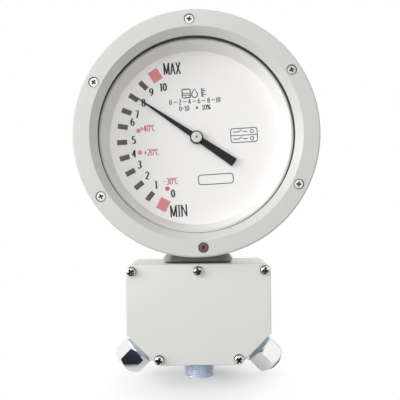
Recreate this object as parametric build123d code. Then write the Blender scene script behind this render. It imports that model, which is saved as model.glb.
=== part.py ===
from build123d import *

import os
from math import acos, atan, cos, pi, radians, sin, tan

# Dial-type level gauge for an oil tank, in millimetres.
# +Z is up and the dial faces -Y.  The origin is on the dial axis, in the rear face of the
# mounting flange.  "Forward" distances are measured from that face towards the viewer, and
# "behind" distances from it into the tank.

# ---- Driving sizes -----------------------------------------------------------------------

# Mounting flange, waist and magnet chamber of the cast housing
flange_radius = 85.0
flange_thickness = 12.0
mount_circle_radius = 70.0
mount_hole_radius = 6.0
mount_hole_count = 6
waist_radius = 46.0
waist_length = 30.0
chamber_radius = 27.0
chamber_depth = 39.0
isolating_wall = 4.0
rib_thickness = 6.0
rib_reach = 20.0
seal_groove_radius = 52.0
seal_ring_radius = 2.0

# Drum of the cast housing
drum_wall = 8.5
drum_draft = 2.0
drum_floor = 6.0
drum_edge_radius = 9.0
dial_room = 3.0
lip_step = 1.5
lip_thickness = 10.0

# Dial, spacer, glass and bezel, from the back to the front
dial_thickness = 1.5
dial_clearance = 1.0
dial_seat_width = 6.5
spacer_height = 23.0
spacer_front_wall = 5.5
spacer_slope = 4.7
glass_radius = 105.0
glass_thickness = 4.0
rear_seal_thickness = 1.5
rear_seal_width = 1.7
gasket_thickness = 3.0
gasket_width = 3.3
bezel_depth = 20.0
bezel_lip_width = 3.0
throat_width = 6.5
throat_edge = 0.6
bezel_face_width = 18.0
recess_depth = 11.5
bezel_edge = 1.5
bezel_screw_inset = 10.0
bezel_screw_count = 6
head_turn = 2.9

# Scale
scale_margin = 13.3
scale_start = 240.0
scale_end = 120.0
scale_steps = 10
mark_length = 11.0
mark_width = 5.5
limit_mark_length = 13.0
limit_mark_width = 11.5
print_thickness = 0.15

# Pointer
reading = 8.1
pointer_gap = 3.5
pointer_thickness = 1.0
pointer_tip_gap = 4.7
pointer_root_width = 6.4
pointer_waist_width = 3.6
pointer_waist_at = 42.0
pointer_tip_width = 1.0
pointer_tail_length = 49.4
pointer_tail_width = 9.8
pointer_boss_radius = 7.1
pointer_boss_height = 3.4
cap_radius = 5.8
cap_height = 1.3
spindle_radius = 1.5

# Movement inside the drum
movement_plate_radius = 48.0
movement_plate_thickness = 2.5
post_circle_radius = 40.0
plate_gap = 1.0
bush_flange = 1.5
post_flats = 8.0
plate_window_circle = 22.0
plate_window_span = 12.0
plate_window_width = 8.0
post_angles = (60.0, 180.0, 300.0)
pivot_boss_radius = 7.0
pivot_boss_height = 3.0
well_radius = 29.0
spindle_bush_radius = 4.5
follower_radius = 26.0
follower_thickness = 7.0
follower_hub_radius = 6.0
switch_arm_reach = 29.0
switch_arm_thickness = 2.0
switch_arm_width = 5.0
switch_arm_spacing = 3.5
switch_magnet_radius = 2.0
switch_magnet_length = 3.0
reed_radius = 2.5
reed_length = 20.0
reed_lead_length = 6.0
reed_circle_radius = 39.5
clip_width = 5.0
clip_margin = 1.5

# Neck and terminal box
neck_root_width = 46.0
neck_foot_width = 72.0
neck_depth = 44.0
foot_height = 3.5
foot_overhang = 1.0
box_gasket_thickness = 1.5
box_below_bezel = 8.5
box_width = 152.0
box_height = 106.0
box_corner_cut = 32.7
box_corner_radius = 8.0
box_wall = 4.0
box_back = 44.0
box_body_depth = 51.0
cover_gasket_thickness = 1.0
cover_thickness = 3.0
cover_edge = 0.8
pillar_radius = 6.5
cover_screw_inset = 6.2
lower_screw_inset = 1.6
wire_passage_radius = 9.0
wire_passage_clearance = 3.0
neck_screw_spread_x = 26.0
neck_screw_spread_y = 15.0

# Terminal strip
way_count = 6
way_pitch = 13.0
strip_drop = 48.8
strip_height = 30.0
strip_depth = 14.0
barrier_depth = 6.0
barrier_thickness = 1.8
clamp_width = 8.0
clamp_length = 22.0
clamp_thickness = 1.2

# Cable glands on the cut corners
gland_thread_radius = 12.5
gland_bore_radius = 8.8
gland_tail = 2.0
gland_washer_thickness = 1.0
gland_root_flats = 27.0
gland_root_height = 2.2
collar_base_radius = 14.8
collar_radius = 18.7
collar_height = 6.6
collar_rim = 1.5
nut_flats = 32.0
nut_length = 21.5
nut_mouth_radius = 9.4
nut_mouth_length = 3.0
spigot_length = 11.0
cable_radius = 6.0
seal_stick_out = (-1.0, 2.5)
nut_turn = (27.0, 0.0)
gland_root_turn = (30.0, 8.0)
gland_pad_radius = 17.0
gland_pad_thickness = 5.0

# Conduit nipple under the box
nipple_radius = 16.5
nipple_bore_radius = 12.5
nipple_length = 18.0
nipple_relief_depth = 1.4
nipple_relief_width = 2.0
nipple_locknut_flats = 40.0
nipple_locknut_thickness = 5.0

# Tank side: carrier, shafts and bevel gears
carrier_base_radius = 40.0
carrier_base_thickness = 5.0
carrier_spigot_length = 8.0
carrier_screw_circle = 34.0
carrier_screw_count = 4
carrier_tube_radius = 10.0
yoke_back = 22.0
yoke_wall = 6.0
yoke_height = 26.0
yoke_margin = 2.0
cheek_thickness = 5.0
cheek_radius = 11.0
shaft_radius = 4.0
shaft_overhang = 2.0
bush_radius = 6.0
bush_length = 10.0
drive_magnet_radius = 24.0
drive_magnet_thickness = 8.0
magnet_gap = 2.0
drive_hub_radius = 6.5
gear_module = 1.5
pinion_teeth = 16
gear_teeth = 32
gear_face_width = 8.0
gear_backlash = 0.12
pressure_angle = 20.0
pinion_hub_radius = 8.5
pinion_hub_length = 6.0
gear_hub_radius = 9.0
gear_hub_length = 8.0
arm_hub_radius = 10.0
arm_hub_length = 14.0
arm_boss_radius = 8.0
arm_boss_reach = 20.0
arm_thread_radius = 4.0
arm_thread_depth = 12.0

# Fits
running_gap = 0.05
press_gap = 0.02
loose_gap = 0.3
assembly_gap = 0.5
follower_gap = 1.0
head_gap = 0.4

# Screws: head radius, head height, shank radius
bezel_screw = (4.5, 3.0, 2.5)
cover_screw = (4.8, 3.4, 2.5)
neck_screw = (5.0, 4.0, 3.0)
carrier_screw = (4.2, 3.0, 2.5)
movement_screw = (3.2, 2.2, 1.5)
terminal_screw = (2.6, 1.8, 1.5)
bezel_screw_reach = 9.0
cover_screw_reach = 9.0
neck_screw_reach = 9.0
carrier_screw_reach = 7.0
movement_screw_reach = 5.0
terminal_screw_reach = 5.0
counterbore_radius = 5.4
washer_radius = 5.2
flat_washer_thickness = 1.0
spring_washer_thickness = 1.3

# ---- Places worked out from the sizes ------------------------------------------------------

drum_back = flange_thickness + waist_length
floor_front = drum_back + drum_floor
wall_front = chamber_depth + isolating_wall
pivot_front = wall_front + pivot_boss_height
follower_back = pivot_front + follower_gap
plate_back = follower_back + follower_thickness + 2 * bush_flange + plate_gap
plate_front = plate_back + movement_plate_thickness
post_height = plate_back - floor_front
high_arm_back = plate_front + switch_arm_thickness
low_arm_back = high_arm_back + switch_arm_spacing
dial_back = low_arm_back + switch_arm_thickness / 2 + reed_radius + dial_room
dial_front = dial_back + dial_thickness
spacer_front = dial_front + spacer_height
glass_back = spacer_front + rear_seal_thickness
glass_front = glass_back + glass_thickness
gasket_front = glass_front + gasket_thickness
bezel_face = glass_front + recess_depth
bezel_back = bezel_face - bezel_depth
lip_back = bezel_back - lip_thickness

seat_radius = glass_radius + assembly_gap
dial_radius = seat_radius - dial_clearance
cavity_radius = dial_radius - dial_seat_width
drum_radius = seat_radius + drum_wall
spacer_front_radius = glass_radius - spacer_front_wall
spacer_back_radius = spacer_front_radius - spacer_slope
rear_seal_inner_radius = glass_radius - rear_seal_width
gasket_inner_radius = glass_radius - gasket_width
bezel_lip_radius = glass_radius - bezel_lip_width
bezel_face_inner_radius = bezel_lip_radius + throat_width
bezel_radius = bezel_face_inner_radius + bezel_face_width
bezel_screw_circle = bezel_radius - bezel_screw_inset
lip_radius = bezel_radius - lip_step
scale_radius = spacer_back_radius - scale_margin
pointer_length = scale_radius - pointer_tip_gap

step_angle = (scale_end - scale_start) / scale_steps
pointer_angle = scale_start + reading * step_angle + head_turn
pointer_back = dial_front + pointer_gap
pointer_front = pointer_back + pointer_thickness

box_drop = bezel_radius + box_below_bezel
foot_bottom = box_gasket_thickness - box_drop
foot_top = foot_bottom + foot_height
neck_root = -(seat_radius + 1.5)
passage_forward = floor_front + wire_passage_radius + wire_passage_clearance
box_bottom = -(box_drop + box_height)
lower_screw_spread = box_width / 2 - box_corner_cut - lower_screw_inset
box_front = box_back + box_body_depth
box_middle = (box_back + box_front) / 2
cover_back = box_front + cover_gasket_thickness
cover_front = cover_back + cover_thickness

collar_top = gland_washer_thickness + collar_height + collar_rim
nut_base = collar_top + loose_gap
nut_end = nut_base + nut_length

pinion_radius = gear_module * pinion_teeth / 2
gear_radius = gear_module * gear_teeth / 2
apex_behind = yoke_back + yoke_wall + pinion_hub_length + 2 * assembly_gap + gear_radius
gear_hub_back = pinion_radius + gear_module + yoke_margin
right_cheek = gear_hub_back + gear_hub_length + loose_gap
left_cheek = -(pinion_radius + 2 * gear_module + cheek_thickness)
arm_hub_start = right_cheek + cheek_thickness + loose_gap
arm_ratio = pinion_teeth / gear_teeth
arm_lift = (reading - scale_steps / 2) * -step_angle * arm_ratio
drive_magnet_front = chamber_depth - magnet_gap
shaft_end = apex_behind - gear_radius * 0.55


# ---- Building helpers ----------------------------------------------------------------------

def turned(*profile):
    """Solid turned about the dial axis from (radius, forward) points."""
    outline = Polyline(*[(radius, -distance) for radius, distance in profile], close=True)
    return revolve(make_face(outline), Axis.Y)


def spun(*profile):
    """Solid turned about the Z axis from (radius, height) points."""
    outline = Polyline(*[(radius, 0, height) for radius, height in profile], close=True)
    return revolve(make_face(outline), Axis.Z)


def ring(inner, outer, back, front):
    """Plain ring on the dial axis, between two forward distances."""
    return turned((inner, back), (outer, back), (outer, front), (inner, front))


def tube(inner, outer, bottom, top):
    """Plain tube on the Z axis."""
    return spun((inner, bottom), (outer, bottom), (outer, top), (inner, top))


def plate(outline, back, front):
    """Flat outline in the dial's plane, thickened between two forward distances."""
    return extrude(Plane.XZ.offset(back) * outline, front - back)


def facing(x, z, forward):
    """Place on the front of something: local +Z points at the viewer."""
    return Location(Plane(origin=(x, -forward, z), x_dir=(1, 0, 0), z_dir=(0, -1, 0)))


def around(radius, angle, forward):
    """Place at a radius and an angle from the dial axis, facing the viewer."""
    return facing(radius * cos(radians(angle)), radius * sin(radians(angle)), forward)


def circle_edges(shape, radius, forward):
    """The circular edges of one radius about the dial axis, at one forward distance."""
    found = []
    for edge in shape.edges().filter_by(GeomType.CIRCLE):
        same_size = abs(edge.radius - radius) < 0.01
        same_place = abs(edge.arc_center.Y + forward) < 0.01
        if same_size and same_place:
            found.append(edge)
    return found


def hexagon(flats, turn=0.0):
    """Hexagon across its flats."""
    return RegularPolygon(flats / 2, 6, major_radius=False, rotation=turn)


def pan_screw(sizes, length):
    """Pan head screw with a cross recess: head on Z = 0, shank along -Z."""
    head_radius, head_height, shank_radius = sizes
    head = Pos(0, 0, head_height / 2) * Cylinder(head_radius, head_height)
    head = fillet(head.edges().filter_by(GeomType.CIRCLE).sort_by(Axis.Z)[-1], head_height * 0.45)
    shank = Pos(0, 0, -length / 2) * Cylinder(shank_radius, length)
    slot = Pos(0, 0, head_height) * Box(head_radius * 1.15, head_radius * 0.26, head_height)
    return head + shank - slot - Rot(Z=90) * slot


def cheese_screw(sizes, length):
    """Slotted cheese head screw: head on Z = 0, shank along -Z."""
    head_radius, head_height, shank_radius = sizes
    screw = spun(
        (0, -length),
        (shank_radius, -length),
        (shank_radius, 0),
        (head_radius, 0),
        (head_radius, head_height * 0.85),
        (head_radius - head_height * 0.15, head_height),
        (0, head_height),
    )
    return screw - Pos(0, 0, head_height) * Box(3 * head_radius, head_radius * 0.3, head_height)


def joined(parts):
    """Separate like solids as one group."""
    return Compound(children=list(parts))


# ---- Housing, bezel and window ---------------------------------------------------------------

def bezel_screw_angles():
    return [90 + head_turn + 360 / bezel_screw_count * i for i in range(bezel_screw_count)]


def mount_angles():
    return [30 + 360 / mount_hole_count * i for i in range(mount_hole_count)]


def carrier_screw_angles():
    return [45 + 360 / carrier_screw_count * i for i in range(carrier_screw_count)]


def neck():
    """Flared neck below the drum, ending in a foot that the terminal box hangs from."""
    middle = Pos(0, -box_middle)
    root = Plane.XY.offset(neck_root) * middle * RectangleRounded(neck_root_width, neck_depth, 8)
    flare = Plane.XY.offset(foot_top) * middle * RectangleRounded(neck_foot_width, neck_depth, 8)
    width = neck_foot_width + 2 * foot_overhang
    depth = neck_depth + 2 * foot_overhang
    foot_outline = Plane.XY.offset(foot_bottom) * middle * RectangleRounded(width, depth, 9)
    foot = extrude(foot_outline, foot_height)
    foot = chamfer(foot.faces().sort_by(Axis.Z)[0].edges(), 1.2)
    return loft([flare, root]) + foot


def waist_rib(angle):
    """Triangular web between the mounting flange and the back of the drum."""
    inner = waist_radius - 3.0
    profile = Polyline(
        (inner, -flange_thickness + 1),
        (waist_radius + rib_reach, -flange_thickness + 1),
        (waist_radius + rib_reach / 3, -drum_back - 1),
        (inner, -drum_back - 1),
        close=True,
    )
    web = extrude(make_face(profile), rib_thickness / 2, both=True)
    return Rot(Y=-angle) * web


def housing():
    """One casting: mounting flange, waist, drum with its bezel lip, and neck."""
    shell = turned(
        (0, chamber_depth),
        (chamber_radius, chamber_depth),
        (chamber_radius, 0),
        (flange_radius, 0),
        (flange_radius, flange_thickness),
        (waist_radius, flange_thickness),
        (waist_radius, drum_back),
        (drum_radius, drum_back),
        (drum_radius + drum_draft, lip_back),
        (lip_radius, lip_back),
        (lip_radius, bezel_back),
        (seat_radius, bezel_back),
        (seat_radius, dial_back),
        (cavity_radius, dial_back),
        (cavity_radius, floor_front),
        (well_radius, floor_front),
        (well_radius, wall_front),
        (pivot_boss_radius, wall_front),
        (pivot_boss_radius, pivot_front),
        (0, pivot_front),
    )
    shell = fillet(circle_edges(shell, drum_radius, drum_back), drum_edge_radius)
    shell = fillet(circle_edges(shell, waist_radius, flange_thickness), 4.0)
    shell = fillet(circle_edges(shell, flange_radius, flange_thickness), 2.0)
    shell = fillet(circle_edges(shell, lip_radius, lip_back), 2.5)
    for angle in mount_angles():
        shell += waist_rib(angle + 180 / mount_hole_count)
    shell += neck()

    for angle in mount_angles():
        hole = Cylinder(mount_hole_radius, 3 * flange_thickness)
        shell -= around(mount_circle_radius, angle, flange_thickness / 2) * hole
    for angle in bezel_screw_angles():
        tapped = Cylinder(bezel_screw[2] + running_gap, 2 * (bezel_screw_reach + 0.5))
        shell -= around(bezel_screw_circle, angle, bezel_back) * tapped
    for angle in carrier_screw_angles():
        tapped = Cylinder(carrier_screw[2] + running_gap, 2 * (carrier_screw_reach + 0.5))
        shell -= around(carrier_screw_circle, angle, 0) * tapped
    for angle in post_angles:
        tapped = Cylinder(movement_screw[2] + running_gap, drum_floor)
        shell -= around(post_circle_radius, angle, floor_front) * tapped
    shell -= ring(
        seal_groove_radius - seal_ring_radius - loose_gap,
        seal_groove_radius + seal_ring_radius + loose_gap,
        -1,
        2 * seal_ring_radius,
    )
    shell -= turned((0, chamber_depth + 1.5), (spindle_bush_radius, chamber_depth + 1.5),
                    (spindle_bush_radius, pivot_front + 1), (0, pivot_front + 1))
    passage_top = -(cavity_radius - wire_passage_radius)
    passage = Cylinder(wire_passage_radius, passage_top - foot_bottom + wire_passage_radius)
    passage_middle = (passage_top + foot_bottom - wire_passage_radius) / 2
    shell -= Pos(0, -passage_forward, passage_middle) * passage
    for x, y in neck_screw_places():
        tapped = Cylinder(neck_screw[2] + running_gap, 2 * (neck_screw_reach + 0.5))
        shell -= Pos(x, y, foot_bottom) * tapped
    return shell


def neck_screw_places():
    places = []
    for x in (-neck_screw_spread_x, neck_screw_spread_x):
        for y in (-neck_screw_spread_y, neck_screw_spread_y):
            places.append((x, y - box_middle))
    return places


def bezel_ring():
    """Turned ring with a sloping throat that holds the window against the drum."""
    ring_body = turned(
        (seat_radius, bezel_back),
        (bezel_radius, bezel_back),
        (bezel_radius, bezel_face - bezel_edge),
        (bezel_radius - bezel_edge, bezel_face),
        (bezel_face_inner_radius + throat_edge, bezel_face),
        (bezel_face_inner_radius, bezel_face - throat_edge),
        (bezel_lip_radius, gasket_front + throat_edge),
        (bezel_lip_radius, gasket_front),
        (seat_radius, gasket_front),
    )
    for angle in bezel_screw_angles():
        place = around(bezel_screw_circle, angle, bezel_face)
        ring_body -= place * Cylinder(counterbore_radius, 2 * (bezel_screw[1] + head_gap))
        ring_body -= place * Cylinder(bezel_screw[2] + loose_gap, 3 * bezel_depth)
    return ring_body


def bezel_screws():
    seat = bezel_face - bezel_screw[1] - head_gap
    length = seat - bezel_back + bezel_screw_reach
    screw = pan_screw(bezel_screw, length)
    angles = bezel_screw_angles()
    return joined(around(bezel_screw_circle, angle, seat) * Rot(Z=angle) * screw for angle in angles)


def spacer_ring():
    """Ring between dial and window; its inside slopes in towards the dial."""
    outer = seat_radius - assembly_gap
    return turned(
        (spacer_back_radius, dial_front),
        (outer, dial_front),
        (outer, spacer_front),
        (spacer_front_radius, spacer_front),
    )


def dial_plate():
    return ring(spindle_bush_radius, dial_radius, dial_back, dial_front)


def scale_mark(step, length, width):
    """One printed block of the scale, lying on the dial."""
    angle = scale_start + step * step_angle + head_turn
    block = Box(length, width, print_thickness)
    return around(scale_radius, angle, dial_front + print_thickness / 2) * Rot(Z=angle) * block


def dial_scale_marks():
    return joined(scale_mark(step, mark_length, mark_width) for step in range(1, scale_steps))


def dial_limit_marks():
    ends = (0, scale_steps)
    return joined(scale_mark(step, limit_mark_length, limit_mark_width) for step in ends)


# ---- Pointer and movement ----------------------------------------------------------------------

def pointer():
    """Flat pointer with a slim tip, a wide square tail and a boss at the spindle."""
    outline = make_face(Polyline(
        (pointer_length, pointer_tip_width / 2),
        (pointer_waist_at, pointer_waist_width / 2),
        (0, pointer_root_width / 2),
        (-pointer_tail_length, pointer_tail_width / 2),
        (-pointer_tail_length, -pointer_tail_width / 2),
        (0, -pointer_root_width / 2),
        (pointer_waist_at, -pointer_waist_width / 2),
        (pointer_length, -pointer_tip_width / 2),
        close=True,
    ))
    blade = plate(Rot(Z=pointer_angle) * outline, pointer_back, pointer_front)
    boss = ring(0, pointer_boss_radius, pointer_back - 1.0, pointer_back + pointer_boss_height)
    bore = ring(0, spindle_radius + press_gap, pointer_back - 2, pointer_front + pointer_boss_height)
    return blade + boss - bore


def pointer_cap():
    """Bright disc on the pointer's boss, with a raised centre round the spindle's end."""
    back = pointer_back + pointer_boss_height
    cap = ring(spindle_radius + press_gap, cap_radius, back, back + cap_height)
    cap = chamfer(circle_edges(cap, cap_radius, back + cap_height), 0.4)
    front = back + cap_height
    return cap + ring(spindle_radius + press_gap, cap_radius * 0.45, front, front + 0.5)


def pointer_spindle():
    end = pointer_back + pointer_boss_height + cap_height + 0.9
    return turned((0, chamber_depth + 1.8), (spindle_radius, chamber_depth + 1.8),
                  (spindle_radius, end - 0.4), (spindle_radius - 0.4, end), (0, end))


def pivot_bush():
    """Blind-hole bush in the isolating wall that carries the spindle's back end."""
    outer = spindle_bush_radius - press_gap
    return ring(spindle_radius + running_gap, outer, chamber_depth + 1.5, pivot_front)


def plate_bush():
    """Flanged bush in the movement plate that carries the spindle's front end."""
    inner = spindle_radius + running_gap
    return turned(
        (inner, plate_back - bush_flange),
        (spindle_bush_radius + 2, plate_back - bush_flange),
        (spindle_bush_radius + 2, plate_back),
        (spindle_bush_radius, plate_back),
        (spindle_bush_radius, plate_front),
        (inner, plate_front),
    )


def follower_hub():
    inner = spindle_radius + press_gap
    back = follower_back
    shoulder = back + follower_thickness
    return turned((inner, back), (follower_hub_radius, back), (follower_hub_radius, shoulder),
                  (follower_hub_radius + 3, shoulder), (follower_hub_radius + 3, shoulder + bush_flange),
                  (inner, shoulder + bush_flange))


def follower_magnet():
    front = follower_back + follower_thickness
    return ring(follower_hub_radius + press_gap, follower_radius, follower_back, front)


def movement_plate():
    """Round bearing plate with three lightening windows between its posts."""
    outline = Circle(movement_plate_radius) - Circle(spindle_bush_radius + press_gap)
    for angle in post_angles:
        outline -= Rot(Z=angle) * Pos(post_circle_radius, 0) * Circle(movement_screw[2] + loose_gap)
        window = SlotCenterToCenter(plate_window_span, plate_window_width, rotation=90)
        outline -= Rot(Z=angle) * Pos(plate_window_circle, 0) * window
    return plate(outline, plate_back, plate_front)


def movement_posts():
    bar = extrude(hexagon(post_flats), post_height)
    bar -= Cylinder(movement_screw[2] + running_gap, 3 * post_height)
    return joined(around(post_circle_radius, angle, floor_front) * bar for angle in post_angles)


def movement_screws():
    length = movement_plate_thickness + post_height + drum_floor / 2 - 0.5
    screw = cheese_screw(movement_screw, length)
    return joined(around(post_circle_radius, angle, plate_front) * screw for angle in post_angles)


def switch_arm(back):
    """Arm clamped on the spindle, carrying one switching magnet at its end."""
    outline = Pos(switch_arm_reach / 2, 0) * Rectangle(switch_arm_reach, switch_arm_width)
    outline += Circle(follower_hub_radius)
    outline += Pos(switch_arm_reach, 0) * Circle(switch_magnet_radius + 1.6)
    outline -= Circle(spindle_radius + press_gap)
    outline -= Pos(switch_arm_reach, 0) * Circle(switch_magnet_radius + press_gap)
    return plate(Rot(Z=pointer_angle) * outline, back, back + switch_arm_thickness)


def switch_magnets():
    pins = []
    for back in (high_arm_back, low_arm_back):
        middle = back + switch_arm_thickness / 2
        pins.append(around(switch_arm_reach, pointer_angle, middle)
                    * Cylinder(switch_magnet_radius, switch_magnet_length))
    return joined(pins)


def reed_place(step, arm_back):
    """Where a reed capsule lies: across the arm's path, at its height."""
    angle = scale_start + step * step_angle + head_turn
    return around(reed_circle_radius, angle, arm_back + switch_arm_thickness / 2) * Rot(Z=angle)


def reed_switch(step, arm_back):
    """Sealed capsule with a wire lead at each end."""
    capsule = Rot(X=90) * Cylinder(reed_radius, reed_length)
    leads = Rot(X=90) * Cylinder(0.5, reed_length + 2 * reed_lead_length)
    return reed_place(step, arm_back) * (capsule + leads)


def reed_clips():
    """Saddles that hold the two reed capsules on the movement plate."""
    clips = []
    for step, arm_back in ((scale_steps, high_arm_back), (0, low_arm_back)):
        drop = arm_back + switch_arm_thickness / 2 - plate_front
        height = drop + reed_radius
        saddle = Pos(0, 0, height / 2 - drop) * Box(2 * (reed_radius + clip_margin), clip_width, height)
        saddle -= Rot(X=90) * Cylinder(reed_radius + press_gap, 2 * clip_width)
        clips.append(reed_place(step, arm_back) * saddle)
    return joined(clips)


# ---- Terminal box --------------------------------------------------------------------------------

def box_outline():
    """Box face: rounded top corners and lower corners cut at 45 degrees for the glands."""
    side = box_width / 2
    face = make_face(Polyline(
        (-side, -box_drop),
        (side, -box_drop),
        (side, box_bottom + box_corner_cut),
        (side - box_corner_cut, box_bottom),
        (-side + box_corner_cut, box_bottom),
        (-side, box_bottom + box_corner_cut),
        close=True,
    ))
    corners = face.vertices().group_by(Axis.Y)
    face = fillet(corners[-1], box_corner_radius)
    return fillet(face.vertices().group_by(Axis.Y)[0], 2.0)


def cover_screw_places():
    """(x, z) of the five cover screws."""
    side = box_width / 2 - cover_screw_inset
    top = -box_drop - cover_screw_inset - 1.0
    low = box_bottom + cover_screw_inset
    places = [(-side, top), (0, top), (side, top)]
    return places + [(-lower_screw_spread, low), (lower_screw_spread, low)]


def corner_place(side):
    """Middle of a cut corner's outer face, local +Z pointing out of the box."""
    x = side * (box_width - box_corner_cut) / 2
    z = box_bottom + box_corner_cut / 2
    return Location(Plane(origin=(x, -box_middle, z), x_dir=(0, -1, 0), z_dir=(side, 0, -1)))


def terminal_box():
    """Cast box, open at the front, with screw pillars in its corners."""
    outline = box_outline()
    body = plate(outline, box_back, box_front)
    body = fillet(body.faces().sort_by(Axis.Y)[-1].edges(), 3.0)
    body -= plate(offset(outline, -box_wall), box_back + box_wall, box_front + 1)
    room = plate(outline, box_back + box_wall, box_front)
    for x, z in cover_screw_places():
        pillar = plate(Pos(x, z) * Circle(pillar_radius), box_back + box_wall, box_front)
        body += pillar & room
    tapped = Cylinder(cover_screw[2] + running_gap, 2 * (cover_screw_reach + 0.5))
    for x, z in cover_screw_places():
        body -= facing(x, z, box_front) * tapped
    pad = Cylinder(gland_pad_radius, gland_pad_thickness)
    pad = Pos(0, 0, -box_wall - gland_pad_thickness / 2) * pad
    for side in (-1, 1):
        body += (corner_place(side) * pad) & room
    for side in (-1, 1):
        tapped = Cylinder(gland_thread_radius + running_gap, 4 * (box_wall + gland_pad_thickness))
        body -= corner_place(side) * tapped
    body -= Pos(0, -box_middle, box_bottom) * Cylinder(nipple_radius + loose_gap, 4 * box_wall)
    body -= Pos(0, -passage_forward, -box_drop) * Cylinder(wire_passage_radius, 4 * box_wall)
    for x, y in neck_screw_places():
        body -= Pos(x, y, -box_drop) * Cylinder(neck_screw[2] + loose_gap, 4 * box_wall)
    return body


def neck_gasket():
    """Flat gasket between the neck's foot and the box."""
    width = neck_foot_width - 2
    outline = Pos(0, -box_middle) * RectangleRounded(width, neck_depth - 2, 8)
    outline -= Pos(0, -passage_forward) * Circle(wire_passage_radius)
    for x, y in neck_screw_places():
        outline -= Pos(x, y) * Circle(neck_screw[2] + loose_gap)
    return extrude(Plane.XY.offset(-box_drop) * outline, box_gasket_thickness)


def neck_screws():
    """Screws that hang the box on the neck, put in from inside the box."""
    length = box_wall + box_gasket_thickness + neck_screw_reach
    screws = []
    for x, y in neck_screw_places():
        place = Pos(x, y, -box_drop - box_wall) * Rot(X=180)
        screws.append(place * cheese_screw(neck_screw, length))
    return joined(screws)


def cover_gasket():
    outline = box_outline()
    band = offset(outline, -0.6) - offset(outline, -box_wall)
    for x, z in cover_screw_places():
        band += (Pos(x, z) * Circle(pillar_radius - 0.6)) & offset(outline, -0.6)
    for x, z in cover_screw_places():
        band -= Pos(x, z) * Circle(cover_screw[2] + loose_gap)
    return plate(band, box_front, cover_back)


def box_cover():
    outline = box_outline()
    cover = plate(outline, cover_back, cover_front)
    cover = chamfer(cover.faces().sort_by(Axis.Y)[0].edges(), cover_edge)
    for x, z in cover_screw_places():
        cover -= facing(x, z, cover_front) * Cylinder(cover_screw[2] + loose_gap, 4 * cover_thickness)
    return cover


def cover_flat_washers():
    washer = tube(cover_screw[2] + loose_gap, washer_radius, 0, flat_washer_thickness)
    return joined(facing(x, z, cover_front) * washer for x, z in cover_screw_places())


def cover_spring_washers():
    """Split washers, each with its slanting gap."""
    inner = cover_screw[2] + loose_gap
    washer = tube(inner, washer_radius - 0.7, 0, spring_washer_thickness)
    washer -= Pos(washer_radius - 1.8, 0, 0) * Rot(X=35) * Box(5, 0.8, 6)
    base = cover_front + flat_washer_thickness
    turns = (40, 160, 250, 100, 310)
    places = zip(cover_screw_places(), turns)
    return joined(facing(x, z, base) * Rot(Z=turn) * washer for (x, z), turn in places)


def cover_screws():
    seat = cover_front + flat_washer_thickness + spring_washer_thickness
    length = seat - box_front + cover_screw_reach
    screw = pan_screw(cover_screw, length)
    turns = (20, 75, 50, 10, 65)
    places = zip(cover_screw_places(), turns)
    return joined(facing(x, z, seat) * Rot(Z=turn) * screw for (x, z), turn in places)


def way_offsets():
    return [(i - (way_count - 1) / 2) * way_pitch for i in range(way_count)]


def strip_middle():
    return -box_drop - strip_drop


def terminal_strip():
    """Moulded barrier strip: a base with a rib between every two ways."""
    back = box_back + box_wall
    width = way_count * way_pitch
    base = Pos(0, strip_middle()) * Rectangle(width + barrier_thickness, strip_height)
    body = plate(base, back, back + strip_depth)
    for i in range(way_count + 1):
        x = (i - way_count / 2) * way_pitch
        rib = Pos(x, strip_middle()) * Rectangle(barrier_thickness, strip_height)
        body += plate(rib, back + strip_depth, back + strip_depth + barrier_depth)
    tapped = Cylinder(terminal_screw[2] + running_gap, 2 * terminal_screw_reach)
    for x, z in terminal_screw_places():
        body -= facing(x, z, back + strip_depth) * tapped
    return body


def terminal_screw_places():
    places = []
    for x in way_offsets():
        for z in (-clamp_length / 4 - 1, clamp_length / 4 + 1):
            places.append((x, strip_middle() + z))
    return places


def terminal_links():
    """Brass bars that join the two screws of each way."""
    base = box_back + box_wall + strip_depth
    links = []
    for x in way_offsets():
        bar = Pos(x, strip_middle()) * Rectangle(clamp_width, clamp_length)
        for z in (-clamp_length / 4 - 1, clamp_length / 4 + 1):
            bar -= Pos(x, strip_middle() + z) * Circle(terminal_screw[2] + running_gap)
        links.append(plate(bar, base, base + clamp_thickness))
    return joined(links)


def terminal_screws():
    base = box_back + box_wall + strip_depth + clamp_thickness
    length = clamp_thickness + terminal_screw_reach - 1
    screw = cheese_screw(terminal_screw, length)
    return joined(facing(x, z, base) * screw for x, z in terminal_screw_places())


# ---- Glands and nipple ---------------------------------------------------------------------------

def gland_body(turn):
    """Tail through the box wall, hexagon root, dished collar, spigot inside the cap nut."""
    base = gland_washer_thickness
    tail_end = -box_wall - gland_pad_thickness - gland_tail
    flare = collar_radius - collar_base_radius
    rise = collar_height - gland_root_height
    body = spun(
        (gland_bore_radius, tail_end),
        (gland_thread_radius, tail_end),
        (gland_thread_radius, base + gland_root_height),
        (collar_base_radius, base + gland_root_height),
        (collar_base_radius + 0.2 * flare, base + gland_root_height + 0.45 * rise),
        (collar_base_radius + 0.6 * flare, base + gland_root_height + 0.8 * rise),
        (collar_radius, base + collar_height),
        (collar_radius, collar_top),
        (gland_thread_radius, collar_top),
        (gland_thread_radius, collar_top + spigot_length),
        (gland_bore_radius, collar_top + spigot_length),
    )
    root = hexagon(gland_root_flats, turn) - Circle(gland_bore_radius)
    return body + Pos(0, 0, base) * extrude(root, gland_root_height)


def gland_washer():
    return tube(gland_thread_radius + loose_gap, gland_root_flats / 2, 0, gland_washer_thickness)


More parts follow.
